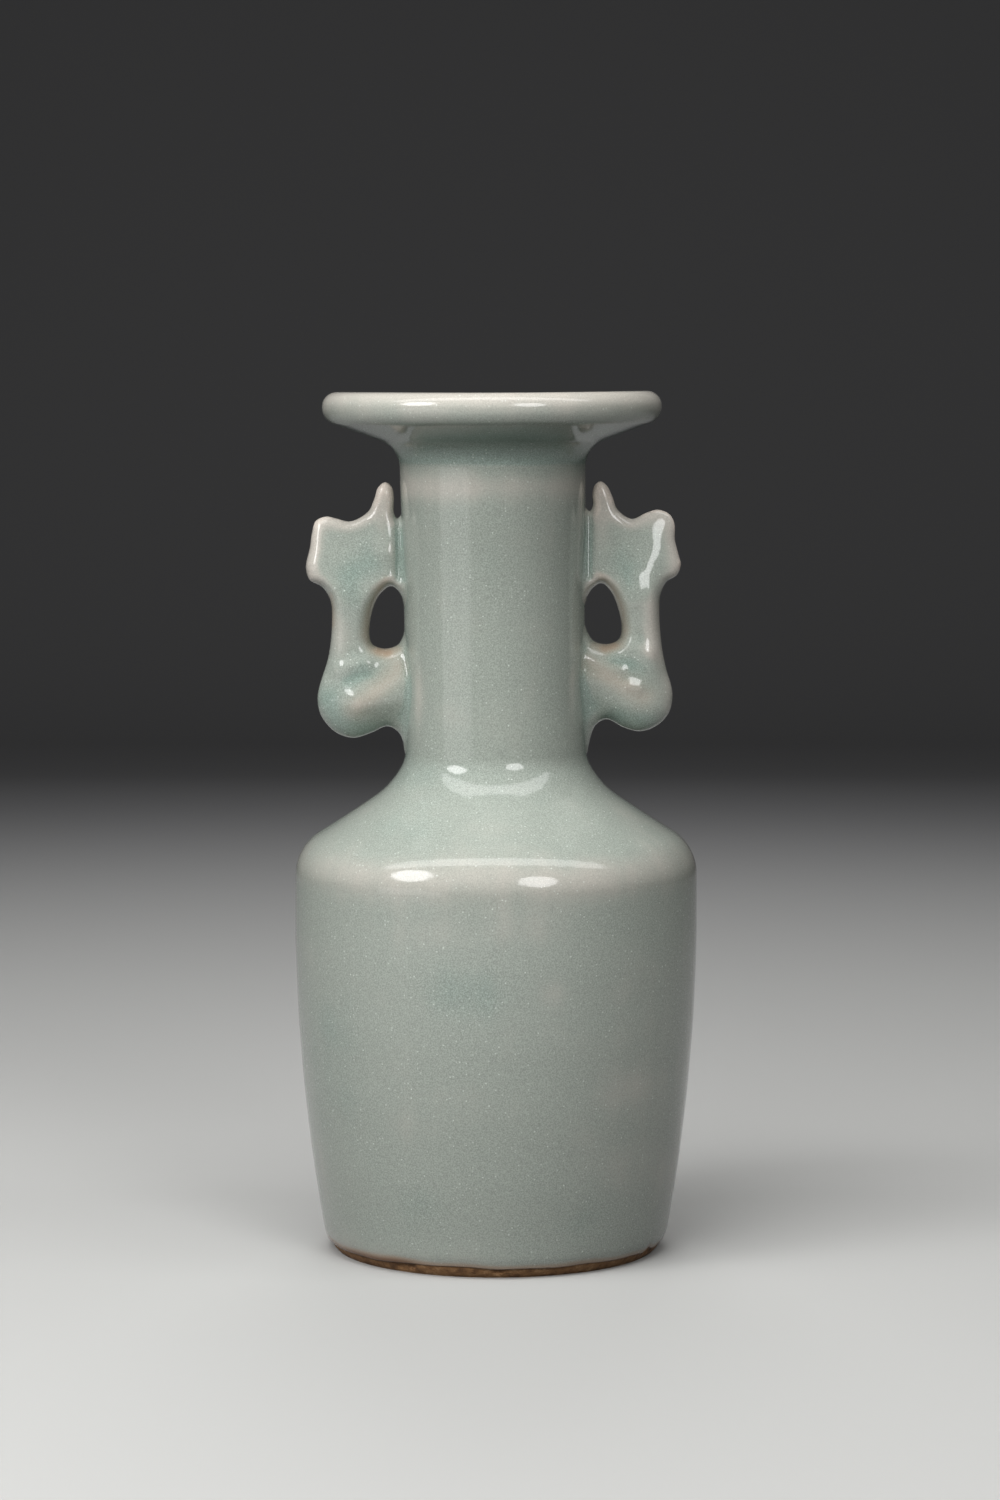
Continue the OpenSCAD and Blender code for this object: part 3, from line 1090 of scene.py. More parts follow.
@dataclass(frozen=True)
class GlazeFlow:
    """Where the glaze thins and pools on the thrown wall, with painted light and painted shade in a few
    places.
    """

    # Depth on an even wall
    plain: float = 0.5
    # Over the lip, outside and inside
    lip: Sequence[GlazeBand] = (
        GlazeBand(Level.RIM, 0.2 * MM, 1.8 * MM, -0.14),
        GlazeBand(Level.RIM, -1.4 * MM, 4.0 * MM, -0.17),
    )
    # Painted light under the mouth, thinner glaze with painted light on the shoulder's slope, thin glaze on
    # the shoulder's edge and above the foot, and a pool at the neck's foot
    bands: Sequence[GlazeBand] = (
        # painted light: brightens the neck's top where the dish shades it
        GlazeBand(Level.NECK_TOP, -3.4 * MM, 3.2 * MM, -0.17),
        # thinner glaze on the shoulder's slope, partly painted light where it faces the lamps above
        GlazeBand(Level.NECK_FOOT, -11.0 * MM, 6.0 * MM, -0.03),
        GlazeBand(Level.BARREL_TOP, 4.2 * MM, 4.6 * MM, -0.17),
        GlazeBand(Level.FOOT, 0.0, 3.0 * MM, -0.08),
        GlazeBand(Level.NECK_FOOT, -4.0 * MM, 4.0 * MM, 0.08),
    )
    # Pool under the dish, deepened as painted shade on its shaded underside, and the heights above the neck
    # where it starts and stops
    mouth_pool_and_shade: float = 0.3
    mouth_start: Point = (0.3 * MM, 1.5 * MM)
    mouth_stop: Point = (7.4 * MM, 9.6 * MM)
    # Pool round the handles
    handle_pool: float = 0.28
    # Soft patches outside
    patches: Sequence[GlazePatch] = (
        GlazePatch(-10.0, 57.0 * MM, 8.0 * MM, 6.5 * MM, 0.16),
        GlazePatch(-4.0, 68.0 * MM, 26.0 * MM, 6.0 * MM, -0.06),
        GlazePatch(-27.0, 28.3 * MM, 6.0 * MM, 4.5 * MM, -0.06),
        GlazePatch(41.0, 37.0 * MM, 9.0 * MM, 22.0 * MM, -0.08),
        GlazePatch(-49.0, 39.0 * MM, 10.0 * MM, 20.0 * MM, 0.08),
        GlazePatch(17.0, 55.5 * MM, 4.0 * MM, 3.0 * MM, -0.08),
        GlazePatch(-75.0, 17.0 * MM, 8.0 * MM, 9.0 * MM, -0.07),
        GlazePatch(68.0, 18.0 * MM, 8.0 * MM, 9.0 * MM, -0.07),
        GlazePatch(-25.0, 14.5 * MM, 8.0 * MM, 4.0 * MM, 0.08),
        GlazePatch(36.0, 12.0 * MM, 8.0 * MM, 4.0 * MM, 0.08),
        GlazePatch(-41.0, 86.0 * MM, 10.0 * MM, 5.0 * MM, 0.1),
        GlazePatch(-58.0, 109.0 * MM, 2.0 * MM, 8.0 * MM, -0.14),
        GlazePatch(58.0, 112.0 * MM, 2.0 * MM, 8.0 * MM, -0.12),
        GlazePatch(40.0, 84.0 * MM, 9.0 * MM, 5.0 * MM, 0.07),
        GlazePatch(150.0, 44.0 * MM, 13.0 * MM, 20.0 * MM, -0.06),
        GlazePatch(-160.0, 56.0 * MM, 8.0 * MM, 7.0 * MM, 0.12),
        GlazePatch(-130.0, 22.0 * MM, 12.0 * MM, 9.0 * MM, -0.06),
        GlazePatch(168.0, 88.0 * MM, 9.0 * MM, 5.0 * MM, 0.1),
    )

    def depth(self, form: ThrownForm, points: Array, outside: Array) -> Array:
        """Work out the depth of the glaze on the thrown wall.

        Args:
            form: the wall.
            points: points of the wall.
            outside: 1 on the outside and 0 on the inside.

        Returns:
            The depth at each point.
        """
        z = points[..., 2]
        above = z - form.neck_top
        lip = sum(band.at(form, z) for band in self.lip)
        # Pools and thin glaze outside, with painted shade under the dish and painted light on the neck's top
        # and shoulder.
        pool_and_light = self.mouth_pool_and_shade * ease(above, *self.mouth_start) * (1.0 - ease(above, *self.mouth_stop))
        pool_and_light = pool_and_light + sum(band.at(form, z) for band in self.bands)
        pool_and_light = pool_and_light + sum(patch.at(points) for patch in self.patches)
        return self.plain + lip + outside * pool_and_light


@dataclass(frozen=True)
class HeelBlush:
    """Iron that shows through the thin glaze above the foot, most at the front left."""

    # Angles in degrees: the front, and to its left the start and end of the burnt stretch
    front: float = 270.0
    burnt_start: Point = (18.0, 38.0)
    burnt_stop: Point = (126.0, 172.0)
    # How its upper edge wanders, its least height, and how much higher it gets
    waves: Sequence[Wave] = (Wave(0.25, 5.0, 0.4), Wave(0.25, 11.0, 1.3))
    middle: float = 0.5
    low: float = 0.2 * MM
    burnt_rise: float = 0.8 * MM
    plain_rise: float = 0.3 * MM
    # Share of its height with the full tint, and the height over which it fades
    core: float = 0.2
    fade: float = 0.9 * MM
    # Tint, and how much stronger it is where the clay is burnt
    tint: float = 0.45
    burnt_tint: float = 0.3

    def at(self, turn: Array, above: Array) -> Array:
        """Work out the tint.

        Args:
            turn: angles round the axis.
            above: heights above the glaze's edge.

        Returns:
            The tint at each point.
        """
        left = np.degrees(np.mod(math.radians(self.front) - turn, 2.0 * math.pi))
        burnt = ease(left, *self.burnt_start) * (1.0 - ease(left, *self.burnt_stop))
        wander = self.middle + sum(wave.at(turn) for wave in self.waves)
        rise = self.burnt_rise * burnt * (1.0 + wander) / 2.0 + self.plain_rise * wander * (1.0 - burnt)
        height = self.low + rise
        shown = 1.0 - ease(above, self.core * height, height + self.fade)
        return (self.tint + self.burnt_tint * burnt) * shown


@dataclass
class ThrownSkin:
    """One skin over the whole thrown vase, cut into its pieces at the luted seams."""

    form: ThrownForm
    flow: GlazeFlow
    handles: Sequence["PhoenixHandle"]
    blush: HeelBlush = HeelBlush()
    # How many points go round
    turns: int = 256
    # Slow unevenness of the thrown wall
    sways: Sequence[Wave] = (
        Wave(0.030 * MM, 2.0, 2.17, 21.0 * MM),
        Wave(0.022 * MM, 3.0, 3.67, -33.0 * MM),
    )
    # Throwing rings: their height, the climb for one radian, and how they wander
    ring_size: float = 0.018 * MM
    ring_pitch: float = 2.3 * MM
    ring_wander: Wave = Wave(0.5, 1.0, 2.57)
    # How far the uneven wall lies inside the even one, and the height over which that starts
    inset: float = 0.07 * MM
    even_foot: float = 6.0 * MM
    # Edge of the glaze: how it wanders, and the highest it gets
    edge_waves: Sequence[Wave] = (
        Wave(0.16 * MM, 3.0, 1.0),
        Wave(0.12 * MM, 7.0, 2.2),
        Wave(0.08 * MM, 17.0),
    )
    edge_top: float = 0.3 * MM
    # How far inside the heel the wandering starts and is full, and the height where it fades
    edge_reach: Point = (2.5 * MM, 0.7 * MM)
    edge_fade: float = 3.0 * MM
    # Chip in that edge, its place and width in degrees
    chip_turn: float = 333.0
    chip_width: float = 2.3
    chip_lift: float = 0.7 * MM

    def __post_init__(self) -> None:
        """Lay the skin out as a grid of rows along the section and turns round the axis."""
        self.section = self.form.section()
        self.angles = full_turn(self.turns)
        self.points = self.spun(self.section.points)
        self.normals = self.grid_normals(self.points)
        rows = np.arange(len(self.section.points))
        outside = (rows <= self.section.marks[Place.RIM]).astype(float)[:, None]
        z = self.points[..., 2]
        self.depth = self.flow.depth(self.form, self.points, outside)
        for handle in self.handles:
            near = handle.nearness(self.points.reshape(-1, 3)).reshape(z.shape)
            self.depth += self.flow.handle_pool * near * outside
        above = z - self.form.foot_z - self.glaze_edge(self.angles)
        self.tint = outside * self.blush.at(self.angles, above)

    def spun(self, chain: Sequence[Point]) -> Array:
        """Turn a section round the axis, with the small unevenness of a thrown pot.

        Args:
            chain: rows of radius and height.

        Returns:
            Rows and turns of points.
        """
        form = self.form
        r, z = np.array(chain).T[:, :, None]
        turn = self.angles[None, :]
        rings = self.ring_size * np.sin(z / self.ring_pitch + self.ring_wander.at(turn))
        sway = sum(wave.at(turn, z) for wave in self.sways) + rings - self.inset
        reach = r + sway * ease(z, form.foot_z, form.foot_z + self.even_foot)
        at_rim = ease(z, form.neck_top, form.rim_z)
        dip = form.rim_dip * (np.cos(2.0 * turn + form.rim_dip_phase) - 1.0) * at_rim
        tilted = ease(z, form.tilt_start, form.barrel_top)
        rise = form.tilt * (reach * np.cos(turn) * tilted - form.mouth_r * at_rim)
        heel_r = form.heel_at(form.foot_z)
        at_heel = ease(r, *(heel_r - inside for inside in self.edge_reach))
        fade = 1.0 - ease(z, form.foot_z, form.foot_z + self.edge_fade)
        drop = self.glaze_edge(turn) * at_heel * fade
        points = turned(reach, turn, z + dip + rise + drop)
        points[..., 0] += form.axis_at(z)
        return points

    def glaze_edge(self, turn: Array) -> Array:
        """Say how far the glaze's edge above the foot wanders up or down.

        Args:
            turn: angles round the axis.

        Returns:
            How far it lies above its even height.
        """
        wander = sum(wave.at(turn) for wave in self.edge_waves)
        chip = swell(turn, math.radians(self.chip_turn), math.radians(self.chip_width))
        return np.minimum(wander, self.edge_top) + self.chip_lift * chip

    @staticmethod
    def grid_normals(points: Array) -> Array:
        """Work out smooth normals of a grid that closes round the axis.

        Args:
            points: rows and turns of points.

        Returns:
            The normal at each point.
        """
        steps = np.diff(points, axis=0)
        lengths = np.linalg.norm(steps, axis=-1, keepdims=True)
        rates = unit(steps)
        share = lengths[:-1] / (lengths[:-1] + lengths[1:])
        middle = rates[:-1] * (1.0 - share) + rates[1:] * share
        along = np.concatenate([rates[:1], middle, rates[-1:]])
        around = np.roll(points, -1, axis=1) - np.roll(points, 1, axis=1)
        return unit(np.cross(around, along))

    def stretch(self, first: Place, last: Place) -> Stretch:
        """Cut a smooth stretch of skin between two named places."""
        part = slice(self.section.marks[first], self.section.marks[last] + 1)
        return Stretch(self.points[part], self.normals[part], self.depth[part], self.tint[part])

    def cap(self, chain: Sequence[Point]) -> Stretch:
        """Turn flat faces that lie hidden in a seam.

        Args:
            chain: radius and height of each row.

        Returns:
            The stretch with flat faces.
        """
        points = self.spun(chain)
        plain = np.full(points.shape[:2], self.flow.plain)
        return Stretch(points, None, plain, np.zeros_like(plain))

    def groove(self, seam: Seam, side: SeamSide) -> Stretch:
        """Cut the half of a slip groove that a piece holds in its seam.

        Args:
            seam: the seam.
            side: on which side of it the piece lies.

        Returns:
            The groove, from the outside to the inside under a seam and back above it.
        """
        (out_r, z), (in_r, _) = (self.section.at(place) for place in seam.value)
        out_r, in_r = out_r - self.form.seam_skin, in_r + self.form.seam_skin
        deep = z + side.value * self.form.slip_t / 2.0
        rows = [(out_r, z), (out_r, deep), (in_r, deep), (in_r, z)]
        return self.cap(rows if side is SeamSide.BELOW else rows[::-1])

    def barrel(self) -> Skin:
        """Cut the barrel.

        Returns:
            Its closed skin.
        """
        return closed_ring([
            self.stretch(Place.GLAZE_EDGE, Place.EDGE_SEAM),
            self.groove(Seam.EDGE, SeamSide.BELOW),
            self.stretch(Place.EDGE_INSIDE, Place.FLOOR),
            self.cap([(self.form.seat_r, self.form.foot_z)]),
        ])

    def between(self, low: Seam, high: Seam) -> Skin:
        """Cut the piece between two seams.

        Args:
            low: its lower seam.
            high: its upper seam.

        Returns:
            Its closed skin.
        """
        return closed_ring([
            self.stretch(low.value[0], high.value[0]),
            self.groove(high, SeamSide.BELOW),
            self.stretch(high.value[1], low.value[1]),
            self.groove(low, SeamSide.ABOVE),
        ])

    def dish_mouth(self) -> Skin:
        """Cut the dish mouth above its seam."""
        return closed_ring([self.stretch(*Seam.MOUTH.value), self.groove(Seam.MOUTH, SeamSide.ABOVE)])

    def build(self, glaze: bpy.types.Material) -> list[bpy.types.Object]:
        """Make the thrown pieces.

        Args:
            glaze: their finish.

        Returns:
            The pieces, from the barrel up.
        """
        skins = {
            "barrel": self.barrel(),
            "shoulder": self.between(Seam.EDGE, Seam.NECK),
            "neck": self.between(Seam.NECK, Seam.MOUTH),
            "dish_mouth": self.dish_mouth(),
        }
        return [skin.piece(f"{name}_glazed", glaze, GLAZE_SLOT, [name]) for name, skin in skins.items()]


@dataclass(frozen=True)
class Nick:
    """A nick in the foot's outer face, its turn in degrees and flat its height by its width."""

    turn: float
    height: float
    width: float
    depth: float
    flat: float = 0.7

    def at(self, r: Array, z: Array, turn: Array) -> Array:
        """Give the depth of the nick at some places."""
        away = wrapped(turn - math.radians(self.turn)) * r
        return self.depth * swell(away, 0.0, self.width) * swell(z, self.height, self.flat * self.width)


@dataclass
class FootRing:
    """Bare turned ring under the vase, with a rough worn edge and a few nicks."""

    form: ThrownForm
    # How far the clay lies under the glaze's surface and runs up behind its edge
    inset: float = 0.28 * MM
    overlap: float = 0.4 * MM
    # Worn bevel at the standing edge
    bevel: float = 0.45 * MM
    # Height and waves of the clay's roughness
    rough: float = 0.05 * MM
    grit: Sequence[Wave] = (
        Wave(0.25, 37.0, 0.0, 0.31 * MM),
        Wave(0.25, 61.0, 1.7, -0.23 * MM),
        Wave(0.25, 97.0, 0.5),
        Wave(0.25, 149.0, 2.9, 0.4 * MM),
    )
    # How far inside the outer radius the wear starts and is full
    worn: Point = (1.6 * MM, 0.6 * MM)
    nicks: Sequence[Nick] = (
        Nick(236.0, 1.3 * MM, 1.3 * MM, 0.5 * MM),
        Nick(240.5, 1.6 * MM, 0.8 * MM, 0.45 * MM),
        Nick(271.0, 1.5 * MM, 0.9 * MM, 0.5 * MM),
        Nick(333.0, 1.7 * MM, 1.3 * MM, 0.8 * MM),
    )
    # Rows of the outer face, and points round it
    rows: int = 9
    turns: int = 512

    def section(self) -> Section:
        """Draw the ring from its inner edge round under and up the outer face.

        Returns:
            The closed section.
        """
        low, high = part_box("foot_ring")
        inner_r = self.inner_radius()
        top_z = self.form.foot_z + self.overlap
        heights = np.linspace(self.bevel, top_z, self.rows)
        outer = [(self.form.heel_at(z) - self.inset, z) for z in heights]
        made = Section((inner_r, low.z + self.bevel))
        made.line((inner_r + self.bevel, low.z), Pace.WORN)
        made.line((outer[0][0] - self.bevel, low.z), Pace.PLAIN)
        made.line(outer[0], Pace.LIP)
        for point in outer[1:]:
            made.line(point, Pace.WORN)
        for point in ((self.form.seat_r, top_z), (self.form.seat_r, high.z), (inner_r, high.z)):
            made.line(point, Pace.SEAT)
        return made

    def build(self, clay: bpy.types.Material) -> bpy.types.Object:
        """Turn the ring.

        Args:
            clay: its finish.

        Returns:
            The piece.
        """
        r, z = np.array(self.section().points).T[:, :, None]
        turn = full_turn(self.turns)[None, :]
        reach = r - self.wear(r, z, turn)
        points = turned(reach, turn, z)
        plain = np.zeros(reach.shape)
        skin = closed_ring([Stretch(points, None, plain, plain)])
        return skin.piece("foot_ring_clay", clay, "bare_clay", ["foot_ring"])

    @staticmethod
    def inner_radius() -> float:
        """Find the smallest radius of the frame's ring."""
        return min(math.hypot(v.co.x, v.co.y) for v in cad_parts["foot_ring"].data.vertices)

    def wear(self, r: Array, z: Array, turn: Array) -> Array:
        """Work out how much clay is worn away on the outer face.

        Args:
            r: radius of each row.
            z: height of each row.
            turn: angle of each point.

        Returns:
            How far each point lies in from its radius.
        """
        outer = ease(r, *(self.form.heel_at(0.0) - inside for inside in self.worn))
        gone = self.rough * (1.0 + sum(wave.at(turn, z) for wave in self.grit))
        return outer * (gone + sum(nick.at(r, z, turn) for nick in self.nicks))


@dataclass
class BaseDisc:
    """Recessed floor of the vase, glazed above and below."""

    # Rise of the underside to its middle
    dome: float = 0.6 * MM
    # How much deeper the slip groove is than the slip stands out from the rim
    groove_room: float = 0.8 * MM
    # Depth of glaze
    glaze: float = 0.55
    # Rows of the underside and the top, and points round them
    under_rows: int = 24
    over_rows: int = 12
    turns: int = 192
    # Distance under which points become one, least edge, and the angle in degrees of a sharp edge
    weld: float = 1e-7
    least_edge: float = 1e-8
    crease: float = 40.0

    def rows(self) -> list[Point]:
        """Draw the disc from the middle of its underside round its grooved rim to the top's middle.

        Returns:
            Radius and height of each row.
        """
        low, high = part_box("base_disc")
        slip_low, slip_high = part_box("base_slip")
        groove_r = 2.0 * high.x - slip_high.x - self.groove_room
        under = [(share * high.x, low.z + self.dome * (1.0 - ease(share, 0.0, 1.0)))
                 for share in np.linspace(0.0, 1.0, self.under_rows)]
        rim = [(high.x, slip_low.z), (groove_r, slip_low.z), (groove_r, slip_high.z), (high.x, slip_high.z)]
        return under + rim + [(share * high.x, high.z) for share in np.linspace(1.0, 0.0, self.over_rows)]

    def build(self, glaze: bpy.types.Material) -> bpy.types.Object:
        """Turn the disc.

        Args:
            glaze: its finish.

        Returns:
            The piece.
        """
        turn = full_turn(self.turns)[None, :]
        r, z = np.array(self.rows()).T[:, :, None]
        points = turned(r, turn, z)
        plain = np.full(points.shape[:2], self.glaze)
        skin = closed_ring([Stretch(points, None, plain, np.zeros_like(plain))])
        skin.corner_normals = None
        made = skin.piece("base_disc_glazed", glaze, GLAZE_SLOT, ["base_disc"])
        shape = bmesh.new()
        shape.from_mesh(made.data)
        bmesh.ops.remove_doubles(shape, verts=shape.verts, dist=self.weld)
        bmesh.ops.dissolve_degenerate(shape, edges=shape.edges, dist=self.least_edge)
        shape.to_mesh(made.data)
        shape.free()
        made.data.set_sharp_from_angle(angle=math.radians(self.crease))
        return made


# Phoenix handles


class Side(Enum):
    """Side of the neck that a handle stands on, as the sign of its x."""

    LEFT = -1.0
    RIGHT = 1.0


@dataclass(frozen=True)
class Touch:
    """One stroke of modelling on a handle, in millimetres out from the neck's wall and up from its foot.

    A spot has a path of one place. A hollow has a lift below 0, and a tint one from 0 to 1.
    """

    path: Sequence[Point]
    width: float
    lift: float

    def at(self, reach: Array, height: Array) -> Array:
        """Work out how much the stroke lifts the face.

        Args:
            reach: places out from the neck's wall.
            height: places up from the neck's foot.

        Returns:
            The lift at each place.
        """
        away2 = np.full(np.shape(reach), np.inf)
        for start, end in zip(self.path, self.path[1:] or self.path):
            run, rise = end[0] - start[0], end[1] - start[1]
            span = max(run**2 + rise**2, NEAR)
            share = np.clip(((reach - start[0]) * run + (height - start[1]) * rise) / span, 0.0, 1.0)
            here2 = (reach - start[0] - share * run) ** 2 + (height - start[1] - share * rise) ** 2
            away2 = np.minimum(away2, here2)
        return self.lift * np.exp(-away2 / self.width**2)


@dataclass(frozen=True)
class Modelling:
    """Shape and glaze of one bird, in millimetres out from the neck's wall and up from its foot.

    Attributes:
        outline: its outline from the crest's slot round to the loop's hole.
        thickness: half thickness by height.
        touches: the modelling of its faces.
        thin_and_painted_light_spots: places where the glaze is thin, with less than 0 where it pools; some
            also paint a soft highlight on the column and shade under the breast.
        warm_and_painted_shade_spots: places where iron tints the glaze, which round the loop's hole also
            paints its shade.
        bevels: places where the rounded rim is wider.
    """

    outline: Sequence[Point]
    thickness: Sequence[Point]
    touches: Sequence[Touch]
    thin_and_painted_light_spots: Sequence[Touch]
    warm_and_painted_shade_spots: Sequence[Touch]
    bevels: Sequence[Touch] = ()


LEFT_BIRD = Modelling(
    outline=(
        (-9.0, 45.9), (0.6, 46.0), (1.5, 45.8), (2.1, 47.0), (2.1, 50.0), (2.6, 52.1), (3.8, 52.9),
        (5.2, 51.9), (6.0, 49.6), (7.2, 47.1), (10.7, 45.2), (13.6, 45.8), (15.4, 46.15), (17.5, 45.3),
        (18.3, 42.8), (18.7, 40.0), (19.5, 36.2), (18.8, 33.7), (16.3, 32.2), (14.7, 29.6),
        (14.4, 25.3), (15.1, 18.6), (17.0, 12.3), (17.3, 9.6), (16.5, 6.6), (13.7, 3.5), (10.2, 2.4),
        (6.7, 3.4), (3.4, 4.7), (1.3, 3.5), (0.4, 1.9), (-0.6, -0.6), (-9.0, -2.0), (-9.0, 24.0),
        (-0.9, 23.8), (0.2, 22.4), (1.5, 20.8), (4.0, 20.1), (6.4, 21.0), (7.0, 23.0), (6.2, 28.1),
        (4.7, 31.0), (2.7, 32.4), (1.2, 31.4), (0.2, 29.9), (-0.9, 28.4), (-9.0, 28.2),
    ),
    thickness=(
        (0.0, 4.2), (4.0, 5.2), (9.0, 5.6), (11.4, 5.6), (14.0, 4.8), (17.0, 4.45), (20.0, 4.3),
        (24.0, 4.2), (28.0, 4.8), (31.0, 5.0), (37.0, 3.7), (43.0, 2.4), (47.0, 1.7), (50.0, 1.6),
        (54.0, 1.4),
    ),
    touches=(
        Touch(((4.0, 51.0), (4.3, 45.0)), 2.0, 0.3),
        Touch(((3.4, 39.8),), 3.0, 0.7),
        Touch(((10.6, 41.0), (9.8, 37.0)), 4.8, -0.3),
        Touch(((16.6, 44.4), (17.8, 36.8)), 1.8, 0.15),
        Touch(((0.9, 45.6), (0.9, 34.2)), 1.2, -0.9),
        Touch(((8.4, 9.6),), 4.4, 0.6),
        Touch(((8.4, 9.6), (4.4, 10.6), (0.0, 13.6)), 3.8, 1.15),
        Touch(((7.4, 17.6), (13.2, 16.0)), 1.7, 0.66),
        Touch(((1.0, 6.6),), 2.6, -0.5),
    ),
    thin_and_painted_light_spots=(
        Touch(((3.8, 52.0), (4.4, 40.0)), 2.0, 0.1),
        Touch(((6.5, 38.0), (11.0, 34.0), (10.5, 29.5)), 3.6, -0.18),
        # thin glaze over the round column, also a painted soft highlight
        Touch(((12.4, 28.0), (12.0, 20.0)), 2.6, 0.1),
        Touch(((1.0, 16.8), (5.0, 12.6), (9.6, 8.6)), 2.3, 0.12),
        Touch(((7.8, 16.6), (10.6, 14.0)), 2.0, -0.16),
        # pool under the breast, also painted shade on its underside
        Touch(((15.0, 10.0), (13.0, 5.4), (7.0, 3.8)), 3.2, -0.26),
    ),
    warm_and_painted_shade_spots=(
        Touch(((1.0, 16.8), (5.0, 12.6), (9.6, 8.6)), 2.4, 0.1),
        # this and the next two: iron round the loop's hole, also painted shade on its inner edge
        Touch(((1.5, 20.2), (4.0, 19.2), (6.4, 20.2), (7.6, 23.0), (6.8, 28.0), (4.9, 31.6)), 1.0, 0.16),
        Touch(((3.2, 19.4), (5.2, 19.8)), 0.9, 0.2),
        Touch(((3.6, 33.6), (4.4, 32.6)), 0.9, 0.14),
        Touch(((14.6, 30.5), (14.4, 25.0)), 0.8, 0.16),
    ),
)

RIGHT_BIRD = Modelling(
    outline=(
        (-9.0, 47.3), (-0.2, 47.4), (0.5, 47.2), (1.1, 48.4), (1.0, 50.2), (1.4, 52.2), (2.5, 53.1),
        (3.8, 52.3), (4.9, 50.2), (6.0, 47.5), (8.8, 45.7), (11.6, 46.9), (13.9, 47.5), (16.2, 46.6),
        (17.2, 44.8), (17.3, 41.6), (18.0, 38.8), (18.5, 36.6), (17.7, 34.6), (15.7, 33.3),
        (14.5, 30.6), (14.3, 27.3), (14.7, 21.3), (15.6, 16.4), (16.8, 12.2), (16.9, 9.8), (16.0, 7.0),
        (13.6, 4.7), (10.4, 3.7), (7.2, 4.5), (3.9, 6.1), (1.8, 5.0), (0.8, 2.9), (0.3, 1.2),
        (-0.6, -0.8), (-9.0, -2.0), (-9.0, 24.8), (-1.0, 24.6), (0.1, 23.2), (1.4, 21.6), (3.9, 21.0),
        (6.2, 21.9), (6.8, 24.0), (6.0, 28.3), (4.5, 31.6), (2.8, 33.0), (1.2, 32.1), (0.1, 30.6),
        (-1.0, 29.1), (-9.0, 28.9),
    ),
    thickness=(
        (0.0, 4.2), (4.0, 5.0), (9.0, 5.4), (12.0, 5.2), (17.0, 5.1), (20.0, 4.6), (24.0, 4.2),
        (28.0, 4.8), (31.0, 5.0), (37.0, 3.7), (43.0, 2.4), (47.0, 1.7), (50.0, 1.6), (54.0, 1.4),
    ),
    touches=(
        Touch(((2.8, 51.2), (3.0, 46.0)), 2.0, 0.2),
        Touch(((9.8, 34.4), (9.7, 29.6)), 1.5, 0.28),
        Touch(((0.2, 47.0), (0.2, 34.6)), 1.2, -0.9),
        Touch(((7.4, 9.4),), 4.4, 0.6),
        Touch(((8.4, 13.1), (10.0, 12.7)), 1.3, 0.4),
        Touch(((0.0, 14.8), (5.0, 13.6)), 2.4, 0.45),
        Touch(((0.0, 18.4), (4.2, 16.4), (6.6, 16.2)), 1.2, 0.32),
        Touch(((7.2, 20.4), (12.4, 19.6)), 1.7, 0.4),
        Touch(((1.0, 8.6),), 2.8, -0.8),
    ),
    thin_and_painted_light_spots=(
        Touch(((2.6, 52.0), (3.4, 40.0)), 2.0, 0.1),
        Touch(((6.0, 38.5), (8.0, 34.0)), 3.2, -0.14),
        # thin glaze over the round column, also a painted soft highlight
        Touch(((12.6, 28.0), (12.4, 20.0)), 2.6, 0.15),
        Touch(((0.0, 17.4), (5.5, 14.2), (10.8, 10.8)), 2.3, 0.12),
        Touch(((4.8, 18.6), (10.6, 16.4)), 1.8, -0.16),
        Touch(((16.2, 14.0), (16.0, 8.6)), 1.8, 0.1),
        # pool under the breast, also painted shade on its underside
        Touch(((6.0, 6.4), (12.6, 5.6)), 2.8, -0.22),
    ),
    warm_and_painted_shade_spots=(
        Touch(((0.0, 17.4), (5.5, 14.2), (10.8, 10.8)), 2.4, 0.1),
        # this and the next two: iron round the loop's hole, also painted shade on its inner edge
        Touch(((1.4, 21.0), (3.9, 20.2), (6.3, 21.2), (7.3, 24.0), (6.6, 28.3), (4.8, 32.0)), 1.0, 0.14),
        Touch(((3.2, 20.3), (5.2, 20.9)), 0.9, 0.18),
        Touch(((2.6, 34.4), (3.6, 33.4)), 0.9, 0.12),
    ),
    bevels=(
        Touch(((16.4, 46.5), (16.2, 41.0), (16.8, 37.0)), 4.4, 3.2),
        Touch(((13.4, 36.4),), 3.2, 2.0),
    ),
)


class SmoothMap:
    """Values on an even grid that are read back with a smooth curve through them."""

    # How far before the grid's last row a place may lie
    LAST = 2.001

    def __init__(self, values: Array, start: Point, step: float) -> None:
        """Keep the grid.

        Args:
            values: rows by first and columns by second place.
            start: place of the first value.
            step: distance between values.
        """
        self.values = values
        self.start = start
        self.step = step

    @staticmethod
    def weights(share: Array) -> list[Array]:
        """Give the weights of four values in a row.

        Args:
            share: place between the middle two, 0 to 1.

        Returns:
            The four weights.
        """
        t, t2, t3 = share, share**2, share**3
        return [(-t3 + 2.0 * t2 - t) / 2.0, (3.0 * t3 - 5.0 * t2 + 2.0) / 2.0,
                (-3.0 * t3 + 4.0 * t2 + t) / 2.0, (t3 - t2) / 2.0]

    def read(self, first: Array, second: Array) -> Array:
        """Read values between the grid's places.

        Args:
            first: first place of each value.
            second: second place of each value.

        Returns:
            The values.
        """
        rows, columns = self.values.shape
        a = np.clip((first - self.start[0]) / self.step, 1.0, rows - self.LAST)
        b = np.clip((second - self.start[1]) / self.step, 1.0, columns - self.LAST)
        row, column = np.floor(a).astype(int), np.floor(b).astype(int)
        total = np.zeros(np.shape(a))
        for m, across in enumerate(self.weights(a - row)):
            for n, along in enumerate(self.weights(b - column)):
                total += across * along * self.values[row + m - 1, column + n - 1]
        return total


